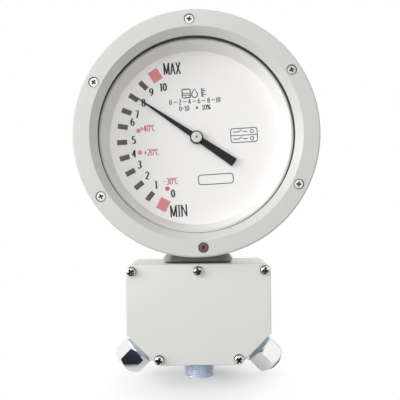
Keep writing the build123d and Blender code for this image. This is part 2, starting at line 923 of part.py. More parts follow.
def gland_cap_nut(turn):
    """Hexagon cap nut with bevelled corners and an open mouth for the cable."""
    corner = nut_flats / 3 ** 0.5
    blank = Pos(0, 0, nut_base) * extrude(hexagon(nut_flats, turn), nut_length)
    bevel = spun(
        (0, nut_base),
        (nut_flats / 2, nut_base),
        (corner + 0.1, nut_base + 1.6),
        (corner + 0.1, nut_end - 5.0),
        (nut_flats / 2 - 0.2, nut_end - 2.0),
        (nut_flats / 2 - 3.0, nut_end),
        (0, nut_end),
    )
    chamber = spun(
        (0, nut_base - 1),
        (gland_thread_radius + running_gap, nut_base - 1),
        (gland_thread_radius + running_gap, nut_end - nut_mouth_length - 1.5),
        (nut_mouth_radius, nut_end - nut_mouth_length),
        (nut_mouth_radius, nut_end + 1),
        (0, nut_end + 1),
    )
    return (blank & bevel) - chamber


def gland_seal(stick_out):
    """Rubber ring squeezed round the cable; its nose fills the nut's mouth."""
    back = collar_top + spigot_length + 0.2
    shoulder = nut_end - nut_mouth_length - 1.8
    outer = gland_thread_radius - loose_gap
    nose = nut_mouth_radius - loose_gap
    return spun(
        (cable_radius, back),
        (outer, back),
        (outer, shoulder),
        (nose, shoulder + 1.4),
        (nose, nut_end + stick_out),
        (cable_radius, nut_end + stick_out),
    )


def conduit_nipple():
    """Threaded tube under the box, with a relief groove next to the box."""
    inside = box_wall + nipple_locknut_thickness + 3.0
    tube_body = spun(
        (nipple_bore_radius, -nipple_length),
        (nipple_radius - 1, -nipple_length),
        (nipple_radius, -nipple_length + 1),
        (nipple_radius, -nipple_relief_width),
        (nipple_radius - nipple_relief_depth, -nipple_relief_width),
        (nipple_radius - nipple_relief_depth, 0),
        (nipple_radius, 0),
        (nipple_radius, inside),
        (nipple_bore_radius, inside),
    )
    return Pos(0, -box_middle, box_bottom) * tube_body


def nipple_locknut():
    nut = extrude(hexagon(nipple_locknut_flats), nipple_locknut_thickness)
    nut -= Cylinder(nipple_radius + running_gap, 4 * nipple_locknut_thickness)
    return Pos(0, -box_middle, box_bottom + box_wall) * nut


# ---- Tank side -----------------------------------------------------------------------------------

def yoke_arm(start):
    """One cheek of the yoke, with a round end about the cross shaft."""
    length = apex_behind - yoke_back
    flat = Pos(yoke_back + length / 2, 0) * Rectangle(length, 2 * cheek_radius)
    flat += Pos(apex_behind, 0) * Circle(cheek_radius)
    flat -= Pos(apex_behind, 0) * Circle(bush_radius + press_gap)
    return extrude(Plane.YZ.offset(start) * flat, cheek_thickness)


def gear_carrier():
    """Casting on the tank side: base, bearing tube and the yoke for the cross shaft."""
    body = turned(
        (bush_radius + press_gap, carrier_spigot_length),
        (chamber_radius - loose_gap, carrier_spigot_length),
        (chamber_radius - loose_gap, 0),
        (carrier_base_radius, 0),
        (carrier_base_radius, -carrier_base_thickness),
        (carrier_tube_radius + 4, -carrier_base_thickness),
        (carrier_tube_radius, -carrier_base_thickness - 6),
        (carrier_tube_radius, -yoke_back - yoke_wall),
        (bush_radius + press_gap, -yoke_back - yoke_wall),
    )
    width = right_cheek + cheek_thickness - left_cheek
    wall = Pos(left_cheek + width / 2, yoke_back + yoke_wall / 2) * Box(width, yoke_wall, yoke_height)
    body += wall - Rot(X=90) * Cylinder(bush_radius + press_gap, 4 * yoke_back)
    body += yoke_arm(left_cheek)
    body += yoke_arm(right_cheek)
    for angle in carrier_screw_angles():
        hole = Cylinder(carrier_screw[2] + loose_gap, 4 * carrier_base_thickness)
        body -= around(carrier_screw_circle, angle, 0) * hole
    return body


def carrier_screws():
    length = carrier_base_thickness + carrier_screw_reach
    screws = []
    for angle in carrier_screw_angles():
        place = around(carrier_screw_circle, angle, -carrier_base_thickness) * Rot(X=180)
        screws.append(place * cheese_screw(carrier_screw, length))
    return joined(screws)


def drive_bushes():
    inner = shaft_radius + running_gap
    front = ring(inner, bush_radius, carrier_spigot_length - bush_length, carrier_spigot_length)
    rear_end = -yoke_back - yoke_wall
    rear = ring(inner, bush_radius, rear_end, rear_end + bush_length)
    return joined([front, rear])


def drive_shaft():
    return ring(0, shaft_radius, -shaft_end, drive_magnet_front)


def drive_hub():
    """Sleeve on the drive shaft with a flange behind the magnet."""
    inner = shaft_radius + press_gap
    flange_front = drive_magnet_front - drive_magnet_thickness
    back = carrier_spigot_length + loose_gap
    return turned((inner, back), (drive_hub_radius, back), (drive_hub_radius, flange_front - 2),
                  (drive_hub_radius + 5, flange_front - 2), (drive_hub_radius + 5, flange_front),
                  (drive_hub_radius, flange_front), (drive_hub_radius, drive_magnet_front),
                  (inner, drive_magnet_front))


def drive_magnet():
    back = drive_magnet_front - drive_magnet_thickness
    return ring(drive_hub_radius + press_gap, drive_magnet_radius, back, drive_magnet_front)


def involute(angle):
    return tan(angle) - angle


def tooth_flank(pitch_radius, cone_angle):
    """(half width, height over the pitch cone) up one flank, on the gear's back cone."""
    back_radius = pitch_radius / cos(cone_angle)
    base_radius = back_radius * cos(radians(pressure_angle))
    thickness = pi * gear_module / 2 - gear_backlash
    at_pitch = thickness / (2 * back_radius) + involute(radians(pressure_angle))
    root = back_radius - 1.5 * gear_module
    tip = back_radius + 0.95 * gear_module
    steps = (base_radius, back_radius, (back_radius + tip) / 2, tip)
    heights = [radius for radius in steps if radius > root]
    flank = []
    for radius in [root] + heights:
        angle = at_pitch - involute(acos(min(1.0, base_radius / radius)))
        flank.append((radius * sin(angle), radius * cos(angle) - back_radius))
    return flank


def bevel_teeth(pitch_radius, mate_radius, tooth_count, first_angle):
    """Straight bevel teeth about +Z, with the cone's apex at the origin."""
    cone_angle = atan(pitch_radius / mate_radius)
    cone_length = pitch_radius / sin(cone_angle)
    inner_scale = (cone_length - gear_face_width) / cone_length
    flank = tooth_flank(pitch_radius, cone_angle)
    outline = flank + [(-width, height) for width, height in reversed(flank)]
    outer_points = []
    for width, height in outline:
        radial = pitch_radius + height * cos(cone_angle)
        outer_points.append((radial, width, mate_radius - height * sin(cone_angle)))
    inner_points = [(x * inner_scale, y * inner_scale, z * inner_scale) for x, y, z in outer_points]
    outer_face = make_face(Polyline(*outer_points, close=True))
    inner_face = make_face(Polyline(*inner_points, close=True))
    tooth = loft([outer_face, inner_face], ruled=True)
    return [Rot(Z=first_angle + 360 / tooth_count * i) * tooth for i in range(tooth_count)]


def bevel_gear_blank(pitch_radius, mate_radius, hub_radius, hub_end):
    """Root cone with a hub behind it and a bore for the shaft."""
    cone_angle = atan(pitch_radius / mate_radius)
    cone_length = pitch_radius / sin(cone_angle)
    inner_scale = (cone_length - gear_face_width) / cone_length
    depth = 1.25 * gear_module
    root_radius = pitch_radius - depth * cos(cone_angle)
    root_height = mate_radius + depth * sin(cone_angle)
    bore = shaft_radius + press_gap
    return spun(
        (bore, root_height * inner_scale),
        (root_radius * inner_scale, root_height * inner_scale),
        (root_radius, root_height),
        (hub_radius, root_height + (root_radius - hub_radius) * tan(cone_angle) * 0.2),
        (hub_radius, hub_end),
        (bore, hub_end),
    )


def apex_plane(x_dir, z_dir):
    return Location(Plane(origin=(0, apex_behind, 0), x_dir=x_dir, z_dir=z_dir))


def bevel_pinion():
    hub_end = gear_radius + pinion_hub_length
    blank = bevel_gear_blank(pinion_radius, gear_radius, pinion_hub_radius, hub_end)
    teeth = bevel_teeth(pinion_radius, gear_radius, pinion_teeth, 0)
    return apex_plane((1, 0, 0), (0, -1, 0)) * blank.fuse(*teeth)


def bevel_gear():
    hub_end = gear_hub_back + gear_hub_length
    blank = bevel_gear_blank(gear_radius, pinion_radius, gear_hub_radius, hub_end)
    teeth = bevel_teeth(gear_radius, pinion_radius, gear_teeth, 180 / gear_teeth)
    return apex_plane((0, -1, 0), (1, 0, 0)) * blank.fuse(*teeth)


def across(radius, start, end, bore=0.0):
    """Round bar or ring on the cross shaft's axis."""
    bar = Cylinder(radius, end - start)
    if bore:
        bar -= Cylinder(bore, 2 * (end - start))
    return Pos((start + end) / 2, apex_behind, 0) * Rot(Y=90) * bar


def cross_shaft():
    return across(shaft_radius, left_cheek - shaft_overhang, arm_hub_start + arm_hub_length)


def cross_bushes():
    bore = shaft_radius + running_gap
    left = across(bush_radius, left_cheek, left_cheek + cheek_thickness, bore)
    right = across(bush_radius, right_cheek, right_cheek + cheek_thickness, bore)
    return joined([left, right])


def shaft_collar():
    """Retaining ring on the free end of the cross shaft."""
    start = left_cheek - shaft_overhang - 1.5
    return across(shaft_radius + 3, start, left_cheek - loose_gap, shaft_radius + press_gap)


def arm_hub():
    """Hub on the cross shaft with a threaded boss for the float's rod."""
    end = arm_hub_start + arm_hub_length
    middle = (arm_hub_start + end) / 2
    hub = across(arm_hub_radius, arm_hub_start, end)
    boss = Pos(middle, apex_behind, 0) * Rot(X=arm_lift - 90) * Pos(0, 0, arm_boss_reach / 2)
    hub += boss * Cylinder(arm_boss_radius, arm_boss_reach) & arm_hub_limits(end)
    hub -= across(shaft_radius + press_gap, arm_hub_start - 1, end + 1)
    socket = Pos(middle, apex_behind, 0) * Rot(X=arm_lift - 90) * Pos(0, 0, arm_boss_reach)
    return hub - socket * Cylinder(arm_thread_radius, 2 * arm_thread_depth)


def arm_hub_limits(end):
    """Slab as wide as the hub, which trims the round boss to the hub's two faces."""
    size = 4 * arm_boss_reach
    return Pos((arm_hub_start + end) / 2, apex_behind, 0) * Box(end - arm_hub_start, size, size)


# ---- Parts list ----------------------------------------------------------------------------------

def flange_seal():
    """O-ring in the groove of the mounting face, standing a little proud of it."""
    return Pos(0, -seal_ring_radius, 0) * Rot(X=90) * Torus(seal_groove_radius, seal_ring_radius)


def build_parts():
    parts = {
        "housing": housing(),
        "bezel_ring": bezel_ring(),
        "bezel_screws": bezel_screws(),
        "bezel_gasket": ring(gasket_inner_radius, glass_radius, glass_front, gasket_front),
        "window_glass": ring(0, glass_radius, glass_back, glass_front),
        "rear_glass_seal": ring(rear_seal_inner_radius, glass_radius, spacer_front, glass_back),
        "spacer_ring": spacer_ring(),
        "dial_plate": dial_plate(),
        "dial_scale_marks": dial_scale_marks(),
        "dial_limit_marks": dial_limit_marks(),
        "pointer": pointer(),
        "pointer_cap": pointer_cap(),
        "pointer_spindle": pointer_spindle(),
        "follower_hub": follower_hub(),
        "follower_magnet": follower_magnet(),
        "high_switch_arm": switch_arm(high_arm_back),
        "low_switch_arm": switch_arm(low_arm_back),
        "switch_magnets": switch_magnets(),
        "pivot_bush": pivot_bush(),
        "plate_bush": plate_bush(),
        "movement_plate": movement_plate(),
        "movement_posts": movement_posts(),
        "movement_screws": movement_screws(),
        "high_reed_switch": reed_switch(scale_steps, high_arm_back),
        "low_reed_switch": reed_switch(0, low_arm_back),
        "reed_clips": reed_clips(),
        "neck_gasket": neck_gasket(),
        "neck_screws": neck_screws(),
        "terminal_box": terminal_box(),
        "cover_gasket": cover_gasket(),
        "box_cover": box_cover(),
        "cover_flat_washers": cover_flat_washers(),
        "cover_spring_washers": cover_spring_washers(),
        "cover_screws": cover_screws(),
        "terminal_strip": terminal_strip(),
        "terminal_links": terminal_links(),
        "terminal_screws": terminal_screws(),
        "conduit_nipple": conduit_nipple(),
        "nipple_locknut": nipple_locknut(),
        "flange_seal": flange_seal(),
        "gear_carrier": gear_carrier(),
        "carrier_screws": carrier_screws(),
        "drive_bushes": drive_bushes(),
        "drive_shaft": drive_shaft(),
        "drive_hub": drive_hub(),
        "drive_magnet": drive_magnet(),
        "bevel_pinion": bevel_pinion(),
        "bevel_gear": bevel_gear(),
        "cross_shaft": cross_shaft(),
        "cross_bushes": cross_bushes(),
        "shaft_collar": shaft_collar(),
        "arm_hub": arm_hub(),
    }
    for i, name in enumerate(("left", "right")):
        place = corner_place(2 * i - 1)
        parts[name + "_gland_body"] = place * gland_body(gland_root_turn[i])
        parts[name + "_gland_nut"] = place * gland_cap_nut(nut_turn[i])
        parts[name + "_gland_seal"] = place * gland_seal(seal_stick_out[i])
    washers = [corner_place(side) * gland_washer() for side in (-1, 1)]
    parts["gland_washers"] = joined(washers)
    return parts


os.makedirs("parts", exist_ok=True)
for node, shape in build_parts().items():
    export_step(shape, f"parts/{node}.step")
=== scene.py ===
from math import atan2, cos, pi, radians, sin, sqrt

import bmesh
import bpy
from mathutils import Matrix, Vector


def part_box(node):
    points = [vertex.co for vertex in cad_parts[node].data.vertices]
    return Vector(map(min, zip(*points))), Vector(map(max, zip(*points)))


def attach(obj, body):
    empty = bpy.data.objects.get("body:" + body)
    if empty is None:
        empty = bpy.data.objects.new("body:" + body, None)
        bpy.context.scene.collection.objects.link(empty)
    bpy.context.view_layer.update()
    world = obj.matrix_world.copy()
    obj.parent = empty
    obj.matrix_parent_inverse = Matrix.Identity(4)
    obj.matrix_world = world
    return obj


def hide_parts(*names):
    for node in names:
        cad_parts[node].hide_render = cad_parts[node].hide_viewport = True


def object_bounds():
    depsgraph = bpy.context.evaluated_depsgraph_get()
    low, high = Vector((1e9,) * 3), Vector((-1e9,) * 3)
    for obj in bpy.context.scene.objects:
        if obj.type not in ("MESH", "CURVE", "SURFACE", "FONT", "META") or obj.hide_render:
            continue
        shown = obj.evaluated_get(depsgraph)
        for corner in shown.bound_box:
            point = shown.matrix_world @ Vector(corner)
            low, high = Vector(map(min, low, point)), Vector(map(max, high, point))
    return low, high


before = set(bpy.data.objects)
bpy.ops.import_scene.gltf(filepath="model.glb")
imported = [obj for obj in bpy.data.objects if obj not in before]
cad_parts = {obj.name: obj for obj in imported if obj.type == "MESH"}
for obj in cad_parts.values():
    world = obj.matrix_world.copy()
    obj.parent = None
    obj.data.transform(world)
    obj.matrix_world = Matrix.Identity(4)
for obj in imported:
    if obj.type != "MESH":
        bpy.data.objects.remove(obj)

cad_box = [list(corner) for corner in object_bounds()]


# ==== Housing casting =======================================================
# One aluminium casting: mounting flange, ribbed waist, drum, bezel lip and neck. It is
# sprayed with a grey-green enamel, and the face that goes against the tank and the inside
# of the bolt holes are machined bare.

enamel_colour = (0.622, 0.633, 0.594)


def feed(tree, socket, value):
    """Links an input to another node's output, or sets it to a plain value."""
    if isinstance(value, bpy.types.NodeSocket):
        tree.links.new(value, socket)
    else:
        socket.default_value = value


def add(tree, kind, **settings):
    """A node; settings whose names start with in_ feed an input, by its number or its name."""
    made = tree.nodes.new(kind)
    for name, value in settings.items():
        if not name.startswith("in_"):
            setattr(made, name, value)
    for name, value in settings.items():
        if name.startswith("in_"):
            key = name[3:].replace("_", " ")
            feed(tree, made.inputs[int(key) if key.isdigit() else key], value)
    return made


def calc(tree, operation, *values):
    """Output of a Math node."""
    made = add(tree, "ShaderNodeMath", operation=operation)
    for socket, value in zip(made.inputs, values):
        feed(tree, socket, value)
    return made.outputs[0]


def ramp(tree, value, from_low, from_high, to_low=0.0, to_high=1.0):
    """Output of a clamped Map Range node."""
    made = add(tree, "ShaderNodeMapRange", in_Value=value, in_1=from_low, in_2=from_high,
               in_3=to_low, in_4=to_high)
    return made.outputs[0]


def noise(tree, place, scale, detail):
    """0-1 value of a noise texture at a place."""
    return add(tree, "ShaderNodeTexNoise", in_Vector=place, in_Scale=scale,
               in_Detail=detail).outputs[0]


def blend(tree, amount, first, second):
    """Colour between two colours."""
    return add(tree, "ShaderNodeMix", data_type="RGBA", in_0=amount, in_6=first,
               in_7=second).outputs[2]


def bump(tree, height, depth, under=None):
    """Normal of a relief, laid over another normal if one is given."""
    made = add(tree, "ShaderNodeBump", in_Height=height, in_Distance=depth)
    if under:
        feed(tree, made.inputs["Normal"], under)
    return made.outputs[0]


def object_place(tree):
    """Object coordinates as a vector."""
    return add(tree, "ShaderNodeTexCoord").outputs["Object"]


def object_axes(tree):
    """Object coordinates as three values."""
    return add(tree, "ShaderNodeSeparateXYZ", in_0=object_place(tree)).outputs


def tone(tree, given, shade):
    """A group's Colour made lighter and darker by a 0-1 shade, as strongly as its Drift says."""
    spread = calc(tree, "MULTIPLY_ADD", calc(tree, "SUBTRACT", shade, 0.5), given["Drift"], 1.0)
    return add(tree, "ShaderNodeVectorMath", operation="SCALE", in_0=given["Colour"],
               in_Scale=spread).outputs[0]


def polish(tree, given, shade):
    """Roughness between a group's two limits by a 0-1 shade."""
    return ramp(tree, shade, 0.0, 1.0, given["Low roughness"], given["High roughness"])


def surface_group(name, build, **sockets):
    """Shader group with named sockets; build makes its colour, roughness and normal."""
    tree = bpy.data.node_groups.new(name, "ShaderNodeTree")
    for label, value in sockets.items():
        kind = "Float" if isinstance(value, float) else "Color" if label == "Colour" else "Vector"
        socket = tree.interface.new_socket(name=label.replace("_", " "), in_out="INPUT",
                                           socket_type="NodeSocket" + kind)
        socket.default_value = (*value, 1.0) if label == "Colour" else value
    for label, kind in (("Colour", "Color"), ("Roughness", "Float"), ("Normal", "Vector")):
        tree.interface.new_socket(name=label, in_out="OUTPUT", socket_type="NodeSocket" + kind)
    given, leave = add(tree, "NodeGroupInput").outputs, add(tree, "NodeGroupOutput")
    for socket, value in zip(leave.inputs, build(tree, given, object_place(tree))):
        feed(tree, socket, value)
    return tree


def enamel(tree, given, place):
    """Sprayed enamel: slow drift of tone, orange peel, and the casting's skin under it."""
    skin = noise(tree, place, 150.0, 2.0)
    peel = bump(tree, noise(tree, place, 620.0, 1.0), given["Peel depth"])
    return (tone(tree, given, noise(tree, place, 14.0, 3.0)), polish(tree, given, skin),
            bump(tree, skin, given["Casting depth"], peel))


def metal(tree, given, place):
    """Bare metal: tool marks along one direction, small changes of tone and polish."""
    stretched = add(tree, "ShaderNodeVectorMath", operation="MULTIPLY", in_0=place,
                    in_1=given["Marks"]).outputs[0]
    marks = noise(tree, stretched, 1.0, 3.0)
    cloud = calc(tree, "MULTIPLY", noise(tree, place, 60.0, 2.0), 0.5)
    both = calc(tree, "MULTIPLY_ADD", marks, 0.5, cloud)
    return tone(tree, given, both), polish(tree, given, both), bump(tree, marks, given["Mark depth"])


sprayed_enamel = surface_group(
    "Sprayed enamel", enamel, Colour=(0.6, 0.6, 0.6), Drift=0.05, Peel_depth=0.00002,
    Casting_depth=0.0001, Low_roughness=0.32, High_roughness=0.46)
worked_metal = surface_group(
    "Worked metal", metal, Colour=(0.6, 0.6, 0.6), Drift=0.15, Marks=(900.0, 60.0, 900.0),
    Mark_depth=0.00001, Low_roughness=0.2, High_roughness=0.35)


def new_material(name):
    """Empty material; returns it with its tree and the inputs of its Principled shader."""
    material = bpy.data.materials.new(name)
    material.use_nodes = True
    tree = material.node_tree
    return material, tree, tree.nodes["Principled BSDF"].inputs


def finish_material(name, group, metallic=0.0, coat=0.0, ior=1.5, **values):
    """Principled material fed by a group; values are the group's inputs by name."""
    material, tree, shader = new_material(name)
    shader["Metallic"].default_value = metallic
    shader["Coat Weight"].default_value = coat
    shader["Coat Roughness"].default_value = 0.12
    shader["IOR"].default_value = ior
    surface = add(tree, "ShaderNodeGroup", node_tree=group)
    for label, value in values.items():
        socket = surface.inputs[label.replace("_", " ")]
        socket.default_value = (*value, 1.0) if label == "Colour" else value
    feed(tree, shader["Base Color"], surface.outputs["Colour"])
    feed(tree, shader["Roughness"], surface.outputs["Roughness"])
    feed(tree, shader["Normal"], surface.outputs["Normal"])
    return material


def dress(nodes, material):
    """Gives CAD nodes a material in place of their plain one."""
    for node in nodes:
        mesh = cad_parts[node].data
        mesh.materials.clear()
        mesh.materials.append(material)


def coloured_where(material, mask, colour):
    """Lays a colour over a material's own where the mask is 1."""
    tree = material.node_tree
    socket = tree.nodes["Principled BSDF"].inputs["Base Color"]
    feed(tree, socket, blend(tree, mask, socket.links[0].from_socket, (*colour, 1.0)))


def machined_behind(material, level, colour, roughness):
    """Bare machined metal behind a plane across the Y axis."""
    tree = material.node_tree
    shader = tree.nodes["Principled BSDF"].inputs
    mask = calc(tree, "GREATER_THAN", object_axes(tree)[1], level)
    coloured_where(material, mask, colour)
    mix = add(tree, "ShaderNodeMix", data_type="FLOAT", in_0=mask,
              in_2=shader["Roughness"].links[0].from_socket, in_3=roughness)
    feed(tree, shader["Roughness"], mix.outputs[0])
    feed(tree, shader["Metallic"], mask)


def soiled_where(material, low_z, high_z, half_width, strength):
    """Painted shade: a band across the part, darker towards its bottom and darkest in its middle."""
    tree = material.node_tree
    across, _, up = object_axes(tree)
    down = ramp(tree, up, high_z, low_z, 0.0, strength)
    middle = ramp(tree, calc(tree, "ABSOLUTE", across), half_width, half_width * 0.6)
    coloured_where(material, calc(tree, "MULTIPLY", down, middle), (0.045, 0.046, 0.045))


housing_enamel = finish_material(
    "Housing enamel", sprayed_enamel, coat=0.15, Colour=enamel_colour, Drift=0.06,
    Peel_depth=0.00002, Casting_depth=0.00025, Low_roughness=0.34, High_roughness=0.5)
mounting_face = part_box("housing")[1][1]
machined_behind(housing_enamel, mounting_face - 0.0004, (0.62, 0.63, 0.64), 0.3)
head_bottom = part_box("bezel_ring")[0][2]
neck_top = head_bottom + 0.012
# Painted shade on the neck, where the bezel overhangs it and shadows it.
soiled_where(housing_enamel, head_bottom, neck_top, half_width=0.045, strength=0.88)
dress(["housing"], housing_enamel)


# ==== O-ring of the mounting face ===========================================
# A moulded rubber ring that lies in the groove of the machined face and seals the tank.

def rubber(tree, given, place):
    """Moulded rubber: matt, with fine speckle and a faint bloom."""
    bloom = noise(tree, place, 45.0, 4.0)
    grain = noise(tree, place, given["Grain size"], 2.0)
    return tone(tree, given, bloom), polish(tree, given, bloom), bump(tree, grain, given["Grain depth"])


moulded_rubber = surface_group(
    "Moulded rubber", rubber, Colour=(0.02, 0.02, 0.02), Drift=0.5, Grain_size=900.0,
    Grain_depth=0.00003, Low_roughness=0.55, High_roughness=0.75)
black_rubber = finish_material("Black nitrile rubber", moulded_rubber, Colour=(0.018, 0.018, 0.019))
dress(["flange_seal"], black_rubber)


# ==== Gear carrier on the tank side =========================================
# A small bare aluminium casting with a bearing tube and a yoke, held by four socket screws.
# It stands in the oil, so it isn't painted.

carrier_metal = finish_material(
    "Carrier aluminium", worked_metal, metallic=1.0, Colour=(0.60, 0.61, 0.62), Drift=0.25,
    Marks=(260.0, 260.0, 260.0), Mark_depth=0.00012, Low_roughness=0.34, High_roughness=0.52)
dress(["gear_carrier"], carrier_metal)

dark_steel = finish_material(
    "Oiled steel screws", worked_metal, metallic=1.0, Colour=(0.30, 0.30, 0.31), Drift=0.3,
    Marks=(700.0, 700.0, 700.0), Low_roughness=0.28, High_roughness=0.42)
dress(["carrier_screws", "movement_screws", "neck_screws", "terminal_screws"], dark_steel)


# ==== Drive shaft, magnet and bevel gears ===================================
# Ground steel shafts run in bronze bushes. The bevel gears are cut from steel and turn the
# float arm's swing into the turn of the drive magnet, a pressed ferrite ring.

ground_steel = finish_material(
    "Ground steel", worked_metal, metallic=1.0, Colour=(0.66, 0.66, 0.67), Drift=0.12,
    Marks=(60.0, 1400.0, 1400.0), Mark_depth=0.000006, Low_roughness=0.16, High_roughness=0.28)
dress(["drive_shaft", "cross_shaft", "pointer_spindle", "shaft_collar", "drive_hub"], ground_steel)

cut_steel = finish_material(
    "Cut gear steel", worked_metal, metallic=1.0, Colour=(0.45, 0.45, 0.46), Drift=0.3,
    Marks=(900.0, 900.0, 120.0), Mark_depth=0.00002, Low_roughness=0.24, High_roughness=0.4)
dress(["bevel_pinion", "bevel_gear", "arm_hub"], cut_steel)

bush_bronze = finish_material(
    "Bush bronze", worked_metal, metallic=1.0, Colour=(0.62, 0.42, 0.20), Drift=0.2,
    Marks=(1200.0, 120.0, 1200.0), Low_roughness=0.22, High_roughness=0.36)
dress(["drive_bushes", "cross_bushes", "pivot_bush", "plate_bush", "follower_hub", "movement_posts",
       "terminal_links"], bush_bronze)

ferrite = finish_material(
    "Pressed ferrite", moulded_rubber, Colour=(0.045, 0.044, 0.046), Drift=0.4, Grain_size=1500.0,
    Grain_depth=0.00002, Low_roughness=0.42, High_roughness=0.6)
dress(["drive_magnet", "follower_magnet"], ferrite)


# ==== Movement plate and alarm switches =====================================
# Inside the drum a brushed aluminium plate on bronze posts carries the pointer's spindle and
# two sealed reed switches. Two arms on the spindle sweep small magnets past them.

brushed_plate = finish_material(
    "Brushed aluminium", worked_metal, metallic=1.0, Colour=(0.70, 0.70, 0.71), Drift=0.15,
    Marks=(40.0, 900.0, 1500.0), Mark_depth=0.00001, Low_roughness=0.26, High_roughness=0.4)
dress(["movement_plate", "high_switch_arm", "low_switch_arm"], brushed_plate)
dress(["switch_magnets"], ground_steel)

reed_glass = finish_material(
    "Reed capsule glass", moulded_rubber, coat=0.6, Colour=(0.30, 0.42, 0.36), Drift=0.2,
    Grain_size=300.0, Grain_depth=0.00001, Low_roughness=0.08, High_roughness=0.14)
dress(["high_reed_switch", "low_reed_switch"], reed_glass)

strip_plastic = finish_material(
    "Black moulded plastic", moulded_rubber, coat=0.1, Colour=(0.022, 0.022, 0.023), Drift=0.3,
    Grain_size=1100.0, Grain_depth=0.00002, Low_roughness=0.34, High_roughness=0.46)
dress(["reed_clips", "terminal_strip"], strip_plastic)


# ==== Dial plate ============================================================
# An aluminium plate stove-enamelled white. The scale is screen printed on it: dark blocks
# from 1 to 9, and a larger red block at each end of the range.

dial_enamel = finish_material(
    "White dial enamel", sprayed_enamel, coat=0.1, Colour=(0.915, 0.91, 0.905), Drift=0.015,
    Peel_depth=0.000004, Casting_depth=0.000004, Low_roughness=0.42, High_roughness=0.5)
dress(["dial_plate"], dial_enamel)


def ink(tree, given, place):
    """Screen-printed ink: a fine mesh pattern in the ink's thickness."""
    weave = noise(tree, place, 1100.0, 2.0)
    rough = calc(tree, "MULTIPLY_ADD", weave, 0.15, given["Roughness"])
    return tone(tree, given, weave), rough, bump(tree, weave, 0.000006)


screen_print = surface_group(
    "Screen print", ink, Colour=(0.05, 0.05, 0.05), Drift=0.3, Roughness=0.5)
dark_ink = finish_material("Dark grey ink", screen_print, Colour=(0.105, 0.095, 0.092), Drift=0.35)
red_ink = finish_material("Red ink", screen_print, Colour=(0.76, 0.27, 0.27), Drift=0.22)
crimson_ink = finish_material("Crimson ink", screen_print, Colour=(0.66, 0.11, 0.17), Drift=0.2)
black_ink = finish_material("Black ink", screen_print, Colour=(0.022, 0.021, 0.023), Drift=0.3)
dress(["dial_scale_marks"], dark_ink)
dress(["dial_limit_marks"], red_ink)


# ==== Figures and signs on the dial =========================================
# Printed with the scale: upright figures 0 to 10 inside it, MAX and MIN at its ends, three
# temperature marks, and plain signs for a tank, its level and the two alarm contacts.

head_turn = radians(2.9)
dial_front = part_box("dial_plate")[0][1]
ink_level = dial_front - 0.00008
figure_radius = 0.0685
figure_height = 0.0083
figure_lift = 0.0012
figure_condense = 0.93
figure_nib = (0.21, 0.10)
step_turn = radians(12)
scale_start = radians(240)
max_place, max_condense = (-0.0221, 0.0772), 0.71
min_place, min_condense = (-0.0245, -0.0784), 0.81
name_height = 0.0127
name_nib = (0.13, 0.05)
name_slant = radians(-14)
dot_circle = 0.064
dot_radius = 0.0025
degree_height = 0.0070
degree_condense = 0.92
degree_nib = (0.15, 0.11)


def bow(cx, cy, rx, ry, start, end, count=14):
    """Points along an ellipse between two angles in degrees."""
    turns = [radians(start + (end - start) * i / count) for i in range(count + 1)]
    return [(cx + rx * cos(turn), cy + ry * sin(turn)) for turn in turns]


